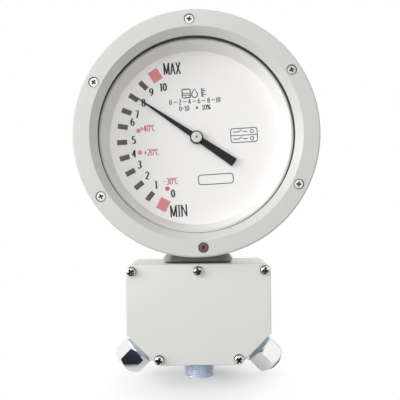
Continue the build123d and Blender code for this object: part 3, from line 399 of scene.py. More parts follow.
# Each glyph is its width and its pen strokes, in a box one unit high.
glyphs = {
    "0": (0.56, [bow(0.28, 0.5, 0.2, 0.47, 90, 450, 24)]),
    "1": (0.46, [[(0.25, 0), (0.25, 0.98)], [(0.08, 0.84), (0.25, 0.96)], [(0.08, 0.02), (0.42, 0.02)]]),
    "2": (0.56, [bow(0.27, 0.73, 0.19, 0.24, 165, -20) + [(0.06, 0.03)], [(0.05, 0.03), (0.5, 0.03)]]),
    "3": (0.56, [bow(0.26, 0.75, 0.17, 0.22, 150, -90), bow(0.26, 0.27, 0.2, 0.26, 90, -150)]),
    "4": (0.58, [[(0.38, 0), (0.38, 0.98)], [(0.38, 0.96), (0.05, 0.28)], [(0.04, 0.28), (0.54, 0.28)]]),
    "5": (0.56, [[(0.12, 0.95), (0.47, 0.95)], [(0.13, 0.97), (0.11, 0.5)],
                 bow(0.26, 0.3, 0.2, 0.29, 130, -145)]),
    "6": (0.56, [bow(0.28, 0.29, 0.2, 0.27, 90, 450, 20), bow(0.5, 0.36, 0.42, 0.6, 182, 105, 8)]),
    "7": (0.54, [[(0.05, 0.95), (0.49, 0.95)], [(0.47, 0.96), (0.2, 0)]]),
    "8": (0.56, [bow(0.28, 0.75, 0.16, 0.21, 90, 450, 20), bow(0.28, 0.28, 0.2, 0.26, 90, 450, 20)]),
    "9": (0.56, [bow(0.28, 0.71, 0.2, 0.27, 90, 450, 20), bow(0.06, 0.64, 0.42, 0.6, 2, -75, 8)]),
    "M": (0.82, [[(0.12, 0), (0.12, 1)], [(0.12, 0.98), (0.4, 0.06)], [(0.4, 0.06), (0.68, 0.98)],
                 [(0.68, 0), (0.68, 1)], [(0.03, 0.02), (0.21, 0.02)], [(0.58, 0.02), (0.79, 0.02)],
                 [(0.03, 0.98), (0.16, 0.98)], [(0.66, 0.98), (0.79, 0.98)]]),
    "A": (0.66, [[(0.08, 0), (0.33, 0.98)], [(0.33, 0.98), (0.56, 0)], [(0.17, 0.33), (0.48, 0.33)],
                 [(0.0, 0.02), (0.18, 0.02)], [(0.45, 0.02), (0.66, 0.02)]]),
    "X": (0.66, [[(0.1, 0.98), (0.56, 0.02)], [(0.56, 0.98), (0.1, 0.02)], [(0.0, 0.98), (0.22, 0.98)],
                 [(0.44, 0.98), (0.64, 0.98)], [(0.0, 0.02), (0.2, 0.02)], [(0.44, 0.02), (0.66, 0.02)]]),
    "I": (0.34, [[(0.17, 0), (0.17, 1)], [(0.04, 0.02), (0.3, 0.02)], [(0.04, 0.98), (0.3, 0.98)]]),
    "N": (0.72, [[(0.12, 0), (0.12, 1)], [(0.12, 0.96), (0.6, 0.04)], [(0.6, 0), (0.6, 1)],
                 [(0.02, 0.02), (0.22, 0.02)], [(0.02, 0.98), (0.16, 0.98)], [(0.5, 0.98), (0.7, 0.98)]]),
    "C": (0.6, [bow(0.32, 0.5, 0.24, 0.47, 50, 310, 18)]),
    "o": (0.3, [bow(0.14, 0.84, 0.09, 0.12, 90, 450, 12)]),
    "+": (0.56, [[(0.06, 0.48), (0.5, 0.48)], [(0.28, 0.2), (0.28, 0.76)]]),
    "-": (0.5, [[(0.06, 0.48), (0.44, 0.48)]]),
    "%": (0.8, [[(0.14, 0), (0.62, 1)], bow(0.18, 0.76, 0.11, 0.19, 90, 450, 12),
                bow(0.58, 0.24, 0.11, 0.19, 90, 450, 12)]),
}


def stroke(sheet, path, place, nib, slant=0.0):
    """One pen stroke as a flat ribbon; an oval nib makes upright strokes the heavier ones."""
    closed = (Vector(path[0]) - Vector(path[-1])).length < 1e-6
    points = [Vector(p) for p in (path[:-1] if closed else path)]
    rows = []
    for i, point in enumerate(points):
        before = points[i - 1] if closed or i else point
        after = points[(i + 1) % len(points)] if closed or i < len(points) - 1 else point
        run = (after - before).normalized()
        across = Vector((-run.y, run.x))
        along_nib = across.x * cos(slant) + across.y * sin(slant)
        past_nib = across.y * cos(slant) - across.x * sin(slant)
        reach = 0.5 * sqrt((nib[0] * along_nib) ** 2 + (nib[1] * past_nib) ** 2)
        rows.append([sheet.verts.new(place(point + across * side * reach)) for side in (1, -1)])
    for i in range(len(rows) if closed else len(rows) - 1):
        left, right = rows[i]
        next_left, next_right = rows[(i + 1) % len(rows)]
        sheet.faces.new((left, right, next_right, next_left))


def on_dial(x, z):
    """A point of the upright layout, in metres from the dial's centre, turned with the head."""
    return Vector((x * cos(head_turn) - z * sin(head_turn), ink_level,
                   x * sin(head_turn) + z * cos(head_turn)))


def write(sheet, text, x, z, height, condense, nib, slant=0.0):
    """Lettering centred on a point of the dial; widths and nib are shares of its height."""
    total = sum(glyphs[letter][0] for letter in text) * condense
    start = -total / 2
    for letter in text:
        width, strokes = glyphs[letter]
        for path in strokes:
            def place(point, start=start):
                return on_dial(x + (start + point.x) * height, z + (point.y - 0.5) * height)
            narrow = [(px * condense, py) for px, py in path]
            stroke(sheet, narrow, place, nib, slant)
        start += width * condense


def fill(sheet, outline):
    """Flat printed patch from points of the dial's layout."""
    sheet.faces.new([sheet.verts.new(on_dial(x, z)) for x, z in outline])


def line(sheet, path, width):
    """Line of even width through points of the dial's layout, in metres."""
    stroke(sheet, path, lambda point: on_dial(point.x, point.y), (width, width))


def add_object(name, mesh):
    """A mesh as an object of the scene."""
    made = bpy.data.objects.new(name, mesh)
    bpy.context.scene.collection.objects.link(made)
    return made


def piece(name, sheet, material, printed=False):
    """Turns mesh data into a piece of the gauge's fixed body; a print's faces look forward."""
    if printed:
        sheet.normal_update()
        backward = [face for face in sheet.faces if face.normal.y > 0]
        bmesh.ops.reverse_faces(sheet, faces=backward)
    else:
        bmesh.ops.recalc_face_normals(sheet, faces=sheet.faces)
    mesh = bpy.data.meshes.new(name)
    sheet.to_mesh(mesh)
    sheet.free()
    mesh.materials.append(material)
    made = add_object(name, mesh)
    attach(made, "gauge_body")
    return made


def printed_figures():
    """0 to 10 inside the scale, each set off from its step by a listed amount, and the names of the ends.
    """
    set_off = [(0.0048, -0.0010), (-0.0014, 0.0014), (-0.0009, 0.0014), (-0.0014, 0.0014),
               (-0.0022, 0.0), (0.0, 0.0008), (-0.0018, 0.0064), (-0.0006, 0.0006),
               (0.0, 0.0004), (-0.0004, 0.0006), (0.0012, -0.0030)]
    figures = bmesh.new()
    for step, (aside, up) in enumerate(set_off):
        turn = scale_start - step * step_turn
        write(figures, str(step), figure_radius * cos(turn) + aside,
              figure_radius * sin(turn) + figure_lift + up,
              figure_height, figure_condense, figure_nib)
    write(figures, "MAX", *max_place, name_height, max_condense, name_nib, name_slant)
    write(figures, "MIN", *min_place, name_height, min_condense, name_nib, name_slant)
    return figures


piece("dial_figures", printed_figures(), black_ink, printed=True)

temperatures, dots = bmesh.new(), bmesh.new()
layout = (("+40oC", 169.5, -0.0528, 0.0138), ("+20oC", 191.0, -0.0502, -0.0127),
          ("-30oC", 236.6, -0.0312, -0.0456))
for text, dot_angle, x, z in layout:
    turn = radians(dot_angle)
    dot = bow(dot_circle * cos(turn), dot_circle * sin(turn), dot_radius, dot_radius, 0, 345, 23)
    fill(temperatures if text[0] == "-" else dots, dot)
    write(temperatures, text, x, z, degree_height, degree_condense, degree_nib)
piece("temperature_marks", temperatures, crimson_ink, printed=True)
piece("temperature_dots", dots, red_ink, printed=True)


def rounded_frame(x, z, width, height, radius):
    """Closed outline of a rectangle with round corners."""
    path = []
    for corner, (sx, sz) in enumerate(((1, 1), (-1, 1), (-1, -1), (1, -1))):
        cx = x + sx * (width / 2 - radius)
        cz = z + sz * (height / 2 - radius)
        path += bow(cx, cz, radius, radius, corner * 90, corner * 90 + 90, 5)
    return path + [path[0]]


def level_signs(sheet, row):
    """A tank with waves in it, a drop, and a graduated column, side by side on a row."""
    tank_x, tank_width, tank_height = -0.0083, 0.0088, 0.0094
    wave_span, wave_height = 0.0074, 0.0006
    line(sheet, rounded_frame(tank_x, row, tank_width, tank_height, 0.0014), heavy_line)
    for level in (row - 0.0022, row):
        wave = [(tank_x + wave_span * (i / 12 - 0.5), level + wave_height * sin(i * pi / 3))
                for i in range(13)]
        line(sheet, wave, light_line)
    drop_x, drop_width, drop_height = 0.0008, 0.0032, 0.0033
    tip, belly = [(drop_x, row + 0.0048)], row - 0.0016
    line(sheet, tip + bow(drop_x, belly, drop_width, drop_height, 35, -215, 14) + tip, heavy_line)
    column_x, column_reach, tick_step = 0.0088, 0.0046, 0.0020
    short_tick, longer_by = 0.0024, 0.0018
    line(sheet, [(column_x, row - column_reach), (column_x, row + column_reach)], column_line)
    for i in range(5):
        z = row - 0.0042 + tick_step * i
        line(sheet, [(column_x, z), (column_x + short_tick + longer_by * (i % 2), z)], plain_line)


def count_row(sheet, row):
    """The even figures joined by dashes."""
    first, step, height = -0.0260, 0.0104, 0.0053
    dash_start, dash_end = 0.0034, 0.0070
    for i in range(6):
        x = first + step * i
        write(sheet, str(2 * i), x, row, height, 1.0, small_nib)
        if i < 5:
            line(sheet, [(x + dash_start, row), (x + dash_end, row)], light_line)


def unit_row(sheet, row):
    """What a figure stands for: tenths of the full level."""
    range_x, share_x, height = -0.0115, 0.0127, 0.0054
    left, right, low, high = 0.0012, 0.0036, row - 0.0014, row + 0.0012
    write(sheet, "0-10", range_x, row, height, 1.0, small_nib)
    line(sheet, [(left, low), (right, high)], plain_line)
    line(sheet, [(left, high), (right, low)], plain_line)
    write(sheet, "10%", share_x, row, height, 1.0, small_nib)


def contact_signs(sheet, x, z):
    """A frame in two halves with the sign of a switch contact in each."""
    width, height, corner, half_gap = 0.0290, 0.0152, 0.0026, 0.0001
    lead_start, pivot, blade_end = x - 0.0119, x - 0.0064, x - 0.0019
    stop_start, stop_end, lamp_x = x - 0.0014, x + 0.0036, x + 0.0086
    blade_lift, lamp_radius, row_offset = 0.0021, 0.0018, 0.0039
    middle_reach = width / 2 - half_gap
    line(sheet, rounded_frame(x, z, width, height, corner), plain_line)
    line(sheet, [(x - middle_reach, z), (x + middle_reach, z)], light_line)
    for row in (z + row_offset, z - row_offset):
        line(sheet, [(lead_start, row), (pivot, row)], plain_line)
        line(sheet, [(pivot, row), (blade_end, row + blade_lift)], plain_line)
        line(sheet, [(stop_start, row), (stop_end, row)], plain_line)
        line(sheet, bow(lamp_x, row, lamp_radius, lamp_radius, 0, 360, 12), light_line)


light_line, plain_line, heavy_line, column_line = 0.0008, 0.0009, 0.0011, 0.0012
small_nib = (0.17, 0.13)
signs = bmesh.new()
level_signs(signs, 0.0490)
count_row(signs, 0.0402)
unit_row(signs, 0.0328)
contact_signs(signs, 0.0519, -0.0003)
line(signs, rounded_frame(0.0182, -0.0463, 0.0380, 0.0106, 0.0030), plain_line)
piece("dial_signs", signs, black_ink, printed=True)


# ==== Pointer ===============================================================
# A flat aluminium pointer sprayed matt black, balanced by its wide tail. A bright turned cap
# sits on its boss, round the end of the spindle.

pointer_paint = finish_material(
    "Matt black pointer paint", sprayed_enamel, ior=1.3, Colour=(0.014, 0.014, 0.015), Drift=0.3,
    Peel_depth=0.000008, Casting_depth=0.00001, Low_roughness=0.5, High_roughness=0.62)
dress(["pointer"], pointer_paint)
cap_metal = finish_material(
    "Turned cap", worked_metal, metallic=0.55, Colour=(0.74, 0.73, 0.71), Drift=0.12,
    Marks=(1600.0, 100.0, 1600.0), Low_roughness=0.3, High_roughness=0.42)
dress(["pointer_cap"], cap_metal)


# ==== Spacer ring, window and bezel =========================================
# A painted spacer ring holds the dial down and carries the glass. The turned bezel clamps
# the glass between a rubber seal and a thin black gasket, and is painted like the housing.

spacer_enamel = finish_material(
    "Spacer enamel", sprayed_enamel, Colour=(0.89, 0.885, 0.87), Drift=0.03,
    Peel_depth=0.00001, Casting_depth=0.00001, Low_roughness=0.42, High_roughness=0.52)
dress(["spacer_ring"], spacer_enamel)
dress(["rear_glass_seal"], black_rubber)


def tube_round(sheet, x, z, count, section):
    """Closed ring about an axis along Y; section gives its (radius, y) corners at an angle."""
    rows = []
    for i in range(count):
        turn = 2 * pi * i / count
        rows.append([sheet.verts.new((x + radius * cos(turn), y, z + radius * sin(turn)))
                     for radius, y in section(turn)])
    for first, second in zip(rows, rows[1:] + rows[:1]):
        for k in range(len(first)):
            j = (k + 1) % len(first)
            sheet.faces.new((first[k], first[j], second[j], second[k]))


def squeezed_gasket():
    """Flat black rubber ring; its extra width towards the upper right is painted shade of the gap."""
    low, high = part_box("bezel_gasket")
    outer = (high[0] - low[0]) / 2

    def section(turn):
        inner = outer - gasket_width - shade_widening * cos(turn - gasket_lean)
        return ((outer, low[1]), (inner + gasket_edge * 0.75, low[1]), (inner, low[1] + gasket_edge),
                (inner, high[1]), (outer, high[1]))

    ring = bmesh.new()
    tube_round(ring, (low[0] + high[0]) / 2, (low[2] + high[2]) / 2, 180, section)
    return ring


# The shift widens the real black ring at the upper right as painted shade of the gap at the glass.
gasket_width = 0.0040
shade_widening = 0.0009
gasket_lean = radians(62)
gasket_edge = 0.0004
gasket = piece("laid_gasket", squeezed_gasket(), black_rubber)
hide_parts("bezel_gasket")


def window_material():
    """Clear float glass that lets the light through to the dial."""
    material, tree, shader = new_material("Window glass")
    clear_tint = (1.0, 0.998, 0.996, 1.0)
    shader["Base Color"].default_value = clear_tint
    shader["Transmission Weight"].default_value = 1.0
    shader["IOR"].default_value = 1.45
    film = noise(tree, object_place(tree), 25.0, 4.0)
    feed(tree, shader["Roughness"], ramp(tree, film, 0.0, 1.0, 0.0, 0.012))
    clear = add(tree, "ShaderNodeBsdfTransparent", in_0=clear_tint)
    rays = add(tree, "ShaderNodeLightPath").outputs
    mix = add(tree, "ShaderNodeMixShader", in_2=clear.outputs[0],
              in_0=calc(tree, "MAXIMUM", rays["Is Shadow Ray"], rays["Is Diffuse Ray"]),
              in_1=tree.nodes["Principled BSDF"].outputs[0])
    feed(tree, tree.nodes["Material Output"].inputs["Surface"], mix.outputs[0])
    return material


dress(["window_glass"], window_material())

bezel_enamel = finish_material(
    "Bezel enamel", sprayed_enamel, coat=0.15, Colour=enamel_colour, Drift=0.05,
    Peel_depth=0.00002, Casting_depth=0.00002, Low_roughness=0.34, High_roughness=0.46)
dress(["bezel_ring"], bezel_enamel)


# ==== Pan head screws =======================================================
# Nickel-plated pan heads with a cross recess: six sunk in the bezel with a dark ring of painted
# shade in the gap round them, and five on the box cover, each on a spring washer and a flat
# washer. The recesses are painted dark: painted shade.

screw_metal = finish_material(
    "Nickel plate", worked_metal, metallic=1.0, Colour=(0.88, 0.86, 0.84), Drift=0.12,
    Marks=(500.0, 500.0, 500.0), Mark_depth=0.000006, Low_roughness=0.16, High_roughness=0.26)
dull_metal = finish_material(
    "Dull nickel plate", worked_metal, metallic=0.15, Colour=(0.93, 0.92, 0.90), Drift=0.06,
    Marks=(500.0, 500.0, 500.0), Mark_depth=0.000006, Low_roughness=0.42, High_roughness=0.55)
spring_metal = finish_material(
    "Browned washer steel", worked_metal, metallic=0.7, Colour=(0.060, 0.043, 0.036), Drift=0.4,
    Marks=(600.0, 600.0, 600.0), Low_roughness=0.38, High_roughness=0.55)
dress(["cover_flat_washers", "cover_spring_washers"], spring_metal)


def grimed(material, recess_shade, stain):
    """Painted shade in the recess, and a stain on old heads, where the mesh's attributes say so."""
    tree = material.node_tree
    shader = tree.nodes["Principled BSDF"].inputs
    age = add(tree, "ShaderNodeAttribute", attribute_name="age").outputs["Fac"]
    recess = add(tree, "ShaderNodeAttribute", attribute_name="recess").outputs["Fac"]
    coloured_where(material, age, stain)
    coloured_where(material, recess, recess_shade)
    clean = shader["Metallic"].default_value
    feed(tree, shader["Metallic"], calc(tree, "MULTIPLY_ADD", recess, -clean, clean))
    return material


def screw_template(name, head_radius, head_height, shank_radius, length, crown, reach_of_cross):
    """Pan head with a cross recess on a plain shank; head on Z = 0, shank below."""
    arm = head_radius * reach_of_cross
    width, depth, lip_drop = arm * 0.34, head_height * 0.62, 0.00012
    tip = atan2(width, arm)
    eighth = [tip * 0.5 * i for i in range(3)] + [tip + (pi / 4 - tip) * i / 4 for i in range(1, 5)]
    turns = []
    for quarter in range(4):
        turns += [quarter * pi / 2 + turn for turn in eighth]
        turns += [(quarter + 1) * pi / 2 - turn for turn in reversed(eighth[1:-1])]

    def cross(turn, scale):
        bend = abs((turn + pi / 4) % (pi / 2) - pi / 4)
        reach, half = arm * scale, width * (0.45 + 0.55 * scale)
        return min(reach / cos(bend), half / max(sin(bend), 1e-6))

    def dome(radius):
        edge = radius / head_radius
        return head_height * (1 - crown * edge ** 2 - 0.2 * edge ** 8)

    rings = [[(shank_radius, -length)] * len(turns), [(shank_radius, 0)] * len(turns)]
    rings.append([(head_radius * 0.97, 0)] * len(turns))
    rings.append([(head_radius, head_height * 0.1)] * len(turns))
    for share in (1.0, 0.93, 0.84, 0.72, 0.55, 0.36, 0.18, 0.06):
        ring = []
        for turn in turns:
            radius = cross(turn, 1.0) + (head_radius - cross(turn, 1.0)) * share
            ring.append((radius, dome(radius)))
        rings.append(ring)
    lip = len(rings)
    rings.append([(cross(turn, 1.0), dome(cross(turn, 1.0)) - lip_drop) for turn in turns])
    rings.append([(cross(turn, 0.78), head_height - depth * 0.8) for turn in turns])
    rings.append([(cross(turn, 0.4), head_height - depth) for turn in turns])
    screw = bmesh.new()
    grid = [[screw.verts.new((radius * cos(turn), radius * sin(turn), height))
             for (radius, height), turn in zip(ring, turns)] for ring in rings]
    recess = screw.faces.layers.float.new("recess")
    count = len(turns)
    for row in range(len(grid) - 1):
        for i in range(count):
            j = (i + 1) % count
            face = screw.faces.new((grid[row][i], grid[row][j], grid[row + 1][j], grid[row + 1][i]))
            face[recess] = 1.0 if row >= lip else 0.0
            face.smooth = row < lip - 1
    screw.faces.new(list(reversed(grid[0])))
    screw.faces.new(grid[-1])[recess] = 1.0
    mesh = bpy.data.meshes.new(name)
    screw.to_mesh(mesh)
    screw.free()
    return add_object(name, mesh)


def islands(node):
    """(lowest corner, highest corner) of each separate solid of a CAD node."""
    work = bmesh.new()
    work.from_mesh(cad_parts[node].data)
    work.transform(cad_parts[node].matrix_world)
    bmesh.ops.remove_doubles(work, verts=work.verts, dist=1e-6)
    left, found = set(work.verts), []
    while left:
        group, queue = [], [left.pop()]
        while queue:
            vert = queue.pop()
            group.append(vert.co.copy())
            for edge in vert.link_edges:
                other = edge.other_vert(vert)
                if other in left:
                    left.remove(other)
                    queue.append(other)
        found.append((Vector([min(p[k] for p in group) for k in range(3)]),
                      Vector([max(p[k] for p in group) for k in range(3)])))
    work.free()
    return sorted(found, key=lambda box: (round(box[0].z, 4), round(box[0].x, 4)))


def scatter_group():
    """Geometry group: one part on every point, turned about the screw's own axis."""
    tree = bpy.data.node_groups.new("Place screws", "GeometryNodeTree")
    kinds = (("Points", "NodeSocketGeometry"), ("Part", "NodeSocketObject"),
             ("First turn", "NodeSocketFloat"), ("Turn step", "NodeSocketFloat"),
             ("Material", "NodeSocketMaterial"))
    for label, kind in kinds:
        tree.interface.new_socket(name=label, in_out="INPUT", socket_type=kind)
    tree.interface.new_socket(name="Geometry", in_out="OUTPUT", socket_type="NodeSocketGeometry")
    given, leave = add(tree, "NodeGroupInput").outputs, add(tree, "NodeGroupOutput")
    part = add(tree, "GeometryNodeObjectInfo", in_Object=given["Part"])
    index = add(tree, "GeometryNodeInputIndex").outputs[0]
    turn = calc(tree, "MULTIPLY_ADD", index, given["Turn step"], given["First turn"])
    lay = add(tree, "ShaderNodeCombineXYZ", in_0=pi / 2, in_1=turn)
    place = add(tree, "GeometryNodeInstanceOnPoints", in_Points=given["Points"],
                in_Instance=part.outputs["Geometry"], in_Rotation=lay.outputs[0])
    real = add(tree, "GeometryNodeRealizeInstances", in_0=place.outputs[0])
    paint = add(tree, "GeometryNodeSetMaterial", in_Geometry=real.outputs[0],
                in_Material=given["Material"])
    feed(tree, leave.inputs[0], paint.outputs[0])
    return tree


place_screws = scatter_group()


def screw_set(name, node, spread, head_height, shank_radius, material, turns, crown,
              reach_of_cross, ages):
    """Detailed screws in the places of a CAD node's plain ones, lowest first."""
    boxes = islands(node)
    low, high = boxes[0]
    seat = low.y + head_height
    template = screw_template(name + "_part", spread * (high.x - low.x) / 2, head_height, shank_radius,
                              high.y - seat, crown, reach_of_cross)
    cloud = bpy.data.meshes.new(name)
    cloud.from_pydata([((a.x + b.x) / 2, seat, (a.z + b.z) / 2) for a, b in boxes], [], [])
    cloud.attributes.new("age", "FLOAT", "POINT").data.foreach_set("value", ages)
    holder = add_object(name + "_points", cloud)
    modifier = holder.modifiers.new("screws", "NODES")
    modifier.node_group = place_screws
    values = {"Part": template, "First turn": turns[0], "Turn step": turns[1], "Material": material}
    for socket in place_screws.interface.items_tree:
        if socket.item_type == "SOCKET" and socket.name in values:
            modifier[socket.identifier] = values[socket.name]
    bpy.context.view_layer.update()
    ready = holder.evaluated_get(bpy.context.evaluated_depsgraph_get())
    mesh = bpy.data.meshes.new_from_object(ready)
    bpy.data.objects.remove(holder)
    bpy.data.objects.remove(template)
    made = add_object(name, mesh)
    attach(made, "gauge_body")
    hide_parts(node)
    return made


# The recess colours are painted shade; the bezel screws' recess shade has a red tint.
screw_metal = grimed(screw_metal, recess_shade=(0.010, 0.007, 0.008), stain=(0.40, 0.30, 0.28))
dull_metal = grimed(dull_metal, recess_shade=(0.10, 0.035, 0.035), stain=(0.20, 0.12, 0.13))
shank_radius = 0.0025
sunk_spread = 1.07
sunk_head_height = 0.003
sunk_ages = [1.0, 0.05, 0.15, 0.0, 0.35, 0.0]
screw_set("bezel_pan_screws", "bezel_screws", sunk_spread, sunk_head_height, shank_radius,
          dull_metal, turns=(0.6, 0.55), crown=0.16, reach_of_cross=0.54, ages=sunk_ages)
raised_head_height = 0.0034
raised_ages = [0.1, 0.0, 0.1, 0.0, 0.0]
screw_set("cover_pan_screws", "cover_screws", 1.0, raised_head_height, shank_radius,
          screw_metal, turns=(0.3, 0.35), crown=0.42, reach_of_cross=0.76, ages=raised_ages)


def sealant_rings():
    """Painted shade: a thin dark ring in the gap round each head sunk in the bezel."""
    width, drop, back, clearance = 0.00052, 0.0004, 0.0011, 0.00002
    beads = bmesh.new()
    for low, high in islands("bezel_screws"):
        inner = sunk_spread * (high.x - low.x) / 2 + clearance
        corners = ((inner, low.y + back), (inner, low.y + drop * 1.5), (inner + width / 2, low.y + drop),
                   (inner + width, low.y + drop * 1.5), (inner + width, low.y + back))
        tube_round(beads, (low.x + high.x) / 2, (low.z + high.z) / 2, 40, lambda turn: corners)
    return beads


# Dark rings of painted shade in the shadowed gaps round the sunk heads.
piece("screw_sealant", sealant_rings(), black_rubber)


# ==== Terminal box ==========================================================
# A second casting, hung on the neck's foot by four screws from inside, with a gasket under
# the foot and another under the cover. Box and cover are painted like the head.

box_enamel = finish_material(
    "Box enamel", sprayed_enamel, coat=0.15, Colour=(0.80, 0.80, 0.76), Drift=0.06,
    Peel_depth=0.00002, Casting_depth=0.0002, Low_roughness=0.34, High_roughness=0.5)
dress(["terminal_box"], box_enamel)
cover_enamel = finish_material(
    "Cover enamel", sprayed_enamel, coat=0.2, Colour=(0.755, 0.762, 0.728), Drift=0.05,
    Peel_depth=0.00003, Casting_depth=0.0001, Low_roughness=0.32, High_roughness=0.46)
dress(["box_cover"], cover_enamel)
dress(["neck_gasket", "cover_gasket"], black_rubber)


# ==== Cable glands ==========================================================
# Brass glands on the box's cut corners: a zinc-passivated body with a flared collar, a
# chromed hexagon cap nut, and a black rubber seal that grips the cable.

def eased(name, node, width, material):
    """Copy of a CAD node with its sharp edges rounded, which takes the plain one's place."""
    flat, least_edge, least_crease = radians(1.0), radians(28), radians(24)
    work = bmesh.new()
    work.from_mesh(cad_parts[node].data)
    bmesh.ops.remove_doubles(work, verts=work.verts, dist=1e-6)
    bmesh.ops.dissolve_limit(work, angle_limit=flat, verts=work.verts, edges=work.edges)
    mesh = bpy.data.meshes.new(name)
    work.to_mesh(mesh)
    work.free()
    sharp = add_object(name + "_sharp", mesh)
    edge = sharp.modifiers.new("edges", "BEVEL")
    edge.width = width
    edge.segments = 3
    edge.limit_method = "ANGLE"
    edge.angle_limit = least_edge
    bpy.context.view_layer.update()
    ready = sharp.evaluated_get(bpy.context.evaluated_depsgraph_get())
    rounded = bpy.data.meshes.new_from_object(ready)
    bpy.data.objects.remove(sharp)
    rounded.shade_smooth()
    rounded.set_sharp_from_angle(angle=least_crease)
    rounded.materials.clear()
    rounded.materials.append(material)
    made = add_object(name, rounded)
    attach(made, "gauge_body")
    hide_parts(node)


zinc_plate = finish_material(
    "Bright zinc plate", worked_metal, metallic=1.0, Colour=(0.72, 0.79, 0.90), Drift=0.15,
    Marks=(160.0, 160.0, 160.0), Mark_depth=0.00001, Low_roughness=0.14, High_roughness=0.24)
dress(["nipple_locknut"], zinc_plate)
chrome_plate = finish_material(
    "Chrome plate", worked_metal, metallic=1.0, Colour=(0.90, 0.89, 0.88), Drift=0.04,
    Marks=(90.0, 90.0, 90.0), Mark_depth=0.000004, Low_roughness=0.04, High_roughness=0.09)
for side in ("left", "right"):
    eased(side + "_cap_nut", side + "_gland_nut", 0.0011, chrome_plate)
    eased(side + "_collar", side + "_gland_body", 0.0003, zinc_plate)
dress(["left_gland_seal", "right_gland_seal", "gland_washers"], black_rubber)


# ==== Conduit nipple ========================================================
# A zinc-plated steel tube screwed up into the bottom of the box, with a fine thread cut all
# the way down for a conduit coupling, and a relief groove next to the box.

nipple_low, nipple_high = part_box("conduit_nipple")
box_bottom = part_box("box_cover")[0][2]
thread_pitch = 0.0020
thread_depth = 0.0007
lead_in_depth = 0.0010
relief_width = 0.002
relief_depth = 0.0014
bore_radius = 0.0125


def threaded_tube():
    """Tube with a helical thread between its lower end and the relief groove."""
    centre_x = (nipple_low[0] + nipple_high[0]) / 2
    centre_y = (nipple_low[1] + nipple_high[1]) / 2
    outer = (nipple_high[0] - nipple_low[0]) / 2
    around, per_turn = 96, 6
    thread_top = box_bottom - relief_width
    rows = int((thread_top - nipple_low[2]) / thread_pitch * per_turn)
    tube = bmesh.new()
    rings = []

    def ring(radius_at, z):
        made = []
        for i in range(around):
            turn = 2 * pi * i / around
            radius = radius_at(i)
            made.append(tube.verts.new((centre_x + radius * cos(turn), centre_y + radius * sin(turn), z)))
        rings.append(made)

    def crest(row):
        height = row / per_turn
        fade = min(1.0, row / 3, (rows - row) / 3)
        lead_in = lead_in_depth * max(0.0, 1 - row / 5)

        def radius_at(i):
            phase = (height - i / around) % 1.0
            return outer - lead_in - thread_depth * fade * abs(2 * phase - 1)
        return radius_at

    ring(lambda i: bore_radius, nipple_high[2])
    ring(lambda i: bore_radius, nipple_low[2])
    for row in range(rows + 1):
        ring(crest(row), nipple_low[2] + (thread_top - nipple_low[2]) * row / rows)
    ring(lambda i: outer - relief_depth, thread_top)
    ring(lambda i: outer - relief_depth, box_bottom)
    ring(lambda i: outer, box_bottom)
    ring(lambda i: outer, nipple_high[2])
    for first, second in zip(rings, rings[1:] + rings[:1]):
        for i in range(around):
            j = (i + 1) % around
            tube.faces.new((first[i], first[j], second[j], second[i]))
    return tube


nipple_metal = finish_material(
    "Zinc-plated thread", worked_metal, metallic=0.85, Colour=(0.60, 0.69, 0.82), Drift=0.1,
    Marks=(90.0, 90.0, 90.0), Mark_depth=0.000004, Low_roughness=0.36, High_roughness=0.46)
nipple = piece("threaded_nipple", threaded_tube(), nipple_metal)
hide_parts("conduit_nipple")


# ==== Floor, light and camera ===============================================
# A plain pale floor, white into the distance, with a dark cloth on it that only polished metal
# shows. A strong soft light stands to the left, a weak one in front, and a wide one shines
# down from behind on the sides that the camera doesn't see.

floor_level = cad_box[0][2] - 0.0004


def studio_sheet(name, corners, material):
    """Flat four-cornered surface that belongs to the studio and not to the product."""
    mesh = bpy.data.meshes.new(name)
    mesh.from_pydata(corners, [], [(0, 1, 2, 3)])
    mesh.materials.append(material)
    made = add_object(name, mesh)
    return made


def pale_ground():
    """White floor with the gauge's soft shadow near it, and plain white further off."""
    cloth_back, cloth_front, cloth_slant = -0.125, -0.62, 0.25
    shadow_middle = (0.0, -0.085, floor_level)
    shadow_full, shadow_gone, shadow_lift = 0.03, 0.10, 0.22
    shaded, lit, navy = (0.40, 0.40, 0.40, 1.0), (0.94, 0.94, 0.94, 1.0), (0.006, 0.008, 0.022, 1.0)
    material, tree, shader = new_material("Pale floor")
    shader["Roughness"].default_value = 0.9
    shader["Specular IOR Level"].default_value = 0.1
    x, y, _ = object_axes(tree)
    rays = add(tree, "ShaderNodeLightPath").outputs
    mirrored = rays["Is Glossy Ray"]
    watched = calc(tree, "MAXIMUM", rays["Is Camera Ray"], rays["Is Transmission Ray"])
    shown = calc(tree, "MAXIMUM", watched, mirrored)
    white = blend(tree, shown, shaded, lit)
    across = calc(tree, "MULTIPLY_ADD", x, cloth_slant, y)
    back_edge = ramp(tree, across, cloth_back, cloth_back - 0.015)
    front_edge = ramp(tree, y, cloth_front, cloth_front + 0.04)
    cloth = calc(tree, "MULTIPLY", mirrored, calc(tree, "MULTIPLY", back_edge, front_edge))
    feed(tree, shader["Base Color"], blend(tree, cloth, white, navy))
    away = add(tree, "ShaderNodeVectorMath", operation="DISTANCE", in_0=object_place(tree),
               in_1=shadow_middle).outputs["Value"]
    far = ramp(tree, away, shadow_full, shadow_gone, shadow_lift, 1.0)
    glow = add(tree, "ShaderNodeEmission", in_0=(1, 1, 1, 1), in_1=1.0)
    mix = add(tree, "ShaderNodeMixShader", in_0=calc(tree, "MULTIPLY", far, watched),
              in_1=tree.nodes["Principled BSDF"].outputs[0], in_2=glow.outputs[0])
    feed(tree, tree.nodes["Material Output"].inputs["Surface"], mix.outputs[0])
    return material


def dark_card():
    """Navy cloth that the window glass mirrors, so that no white veil lies over the dial."""
    material, tree, shader = new_material("Navy screen")
    shader["Roughness"].default_value = 0.95
    weave = noise(tree, object_place(tree), 80.0, 2.0)
    tint = blend(tree, weave, (0.010, 0.012, 0.025, 1.0), (0.016, 0.018, 0.034, 1.0))
    feed(tree, shader["Base Color"], tint)
    return material


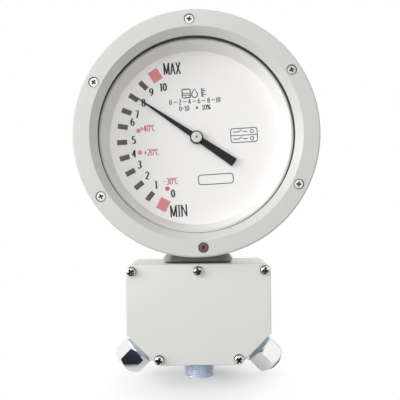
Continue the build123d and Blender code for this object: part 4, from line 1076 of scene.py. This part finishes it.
around_square = ((-1, -1), (1, -1), (1, 1), (-1, 1))
floor_reach = 8
studio_sheet("floor", [(floor_reach * x, floor_reach * y, floor_level) for x, y in around_square],
             pale_ground())
screen_reach, screen_y, screen_z = 0.36, -1.2, 0.14
screen = studio_sheet("front_screen", [(screen_reach * x, screen_y, screen_z + screen_reach * z)
                                       for x, z in around_square], dark_card())
screen.visible_camera = False
screen.visible_diffuse = False
screen.visible_shadow = False

world = bpy.data.worlds.new("Studio")
bpy.context.scene.world = world
world.use_nodes = True
sky = world.node_tree
rays = add(sky, "ShaderNodeLightPath").outputs
watched = calc(sky, "MAXIMUM", rays["Is Camera Ray"], rays["Is Transmission Ray"])
seen = calc(sky, "MAXIMUM", watched, rays["Is Glossy Ray"])
ambient = 0.44
feed(sky, sky.nodes["Background"].inputs["Strength"], ramp(sky, seen, 0.0, 1.0, ambient, 1.0))
sky.nodes["Background"].inputs["Color"].default_value = (1, 1, 1, 1)


def light(name, kind, direction, energy):
    """A lamp that shines on the gauge from a direction seen from it."""
    data = bpy.data.lights.new(name, kind)
    data.energy = energy
    lamp = bpy.data.objects.new(name, data)
    lamp.location = Vector(direction).normalized() * light_distance
    lamp.rotation_euler = lamp.location.to_track_quat("Z", "Y").to_euler()
    bpy.context.scene.collection.objects.link(lamp)
    return data


light_distance = 1.7
soft_box_size = 1.3
soft_boxes = (("side", (-0.85, -0.45, 0.25), 20.5), ("front", (-0.1, -0.99, 0.1), 10.2))
for name, direction, energy in soft_boxes:
    soft_box = light(name, "AREA", direction, energy)
    soft_box.shape = "DISK"
    soft_box.size = soft_box_size
light("above", "SUN", (0.35, 0.70, 0.62), 1.1).angle = radians(50)

camera_x, camera_z, camera_distance = 0.0029, -0.068, 0.5103
camera_roll = radians(0.7)
camera_data = bpy.data.cameras.new("camera")
camera_data.sensor_width = 36
camera_data.lens = 45.23
camera = bpy.data.objects.new("camera", camera_data)
camera.location = (camera_x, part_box("bezel_ring")[0][1] - camera_distance, camera_z)
camera.rotation_euler = (pi / 2, camera_roll, 0)
bpy.context.scene.collection.objects.link(camera)
bpy.context.scene.camera = camera

bpy.context.scene.view_settings.view_transform = "Standard"
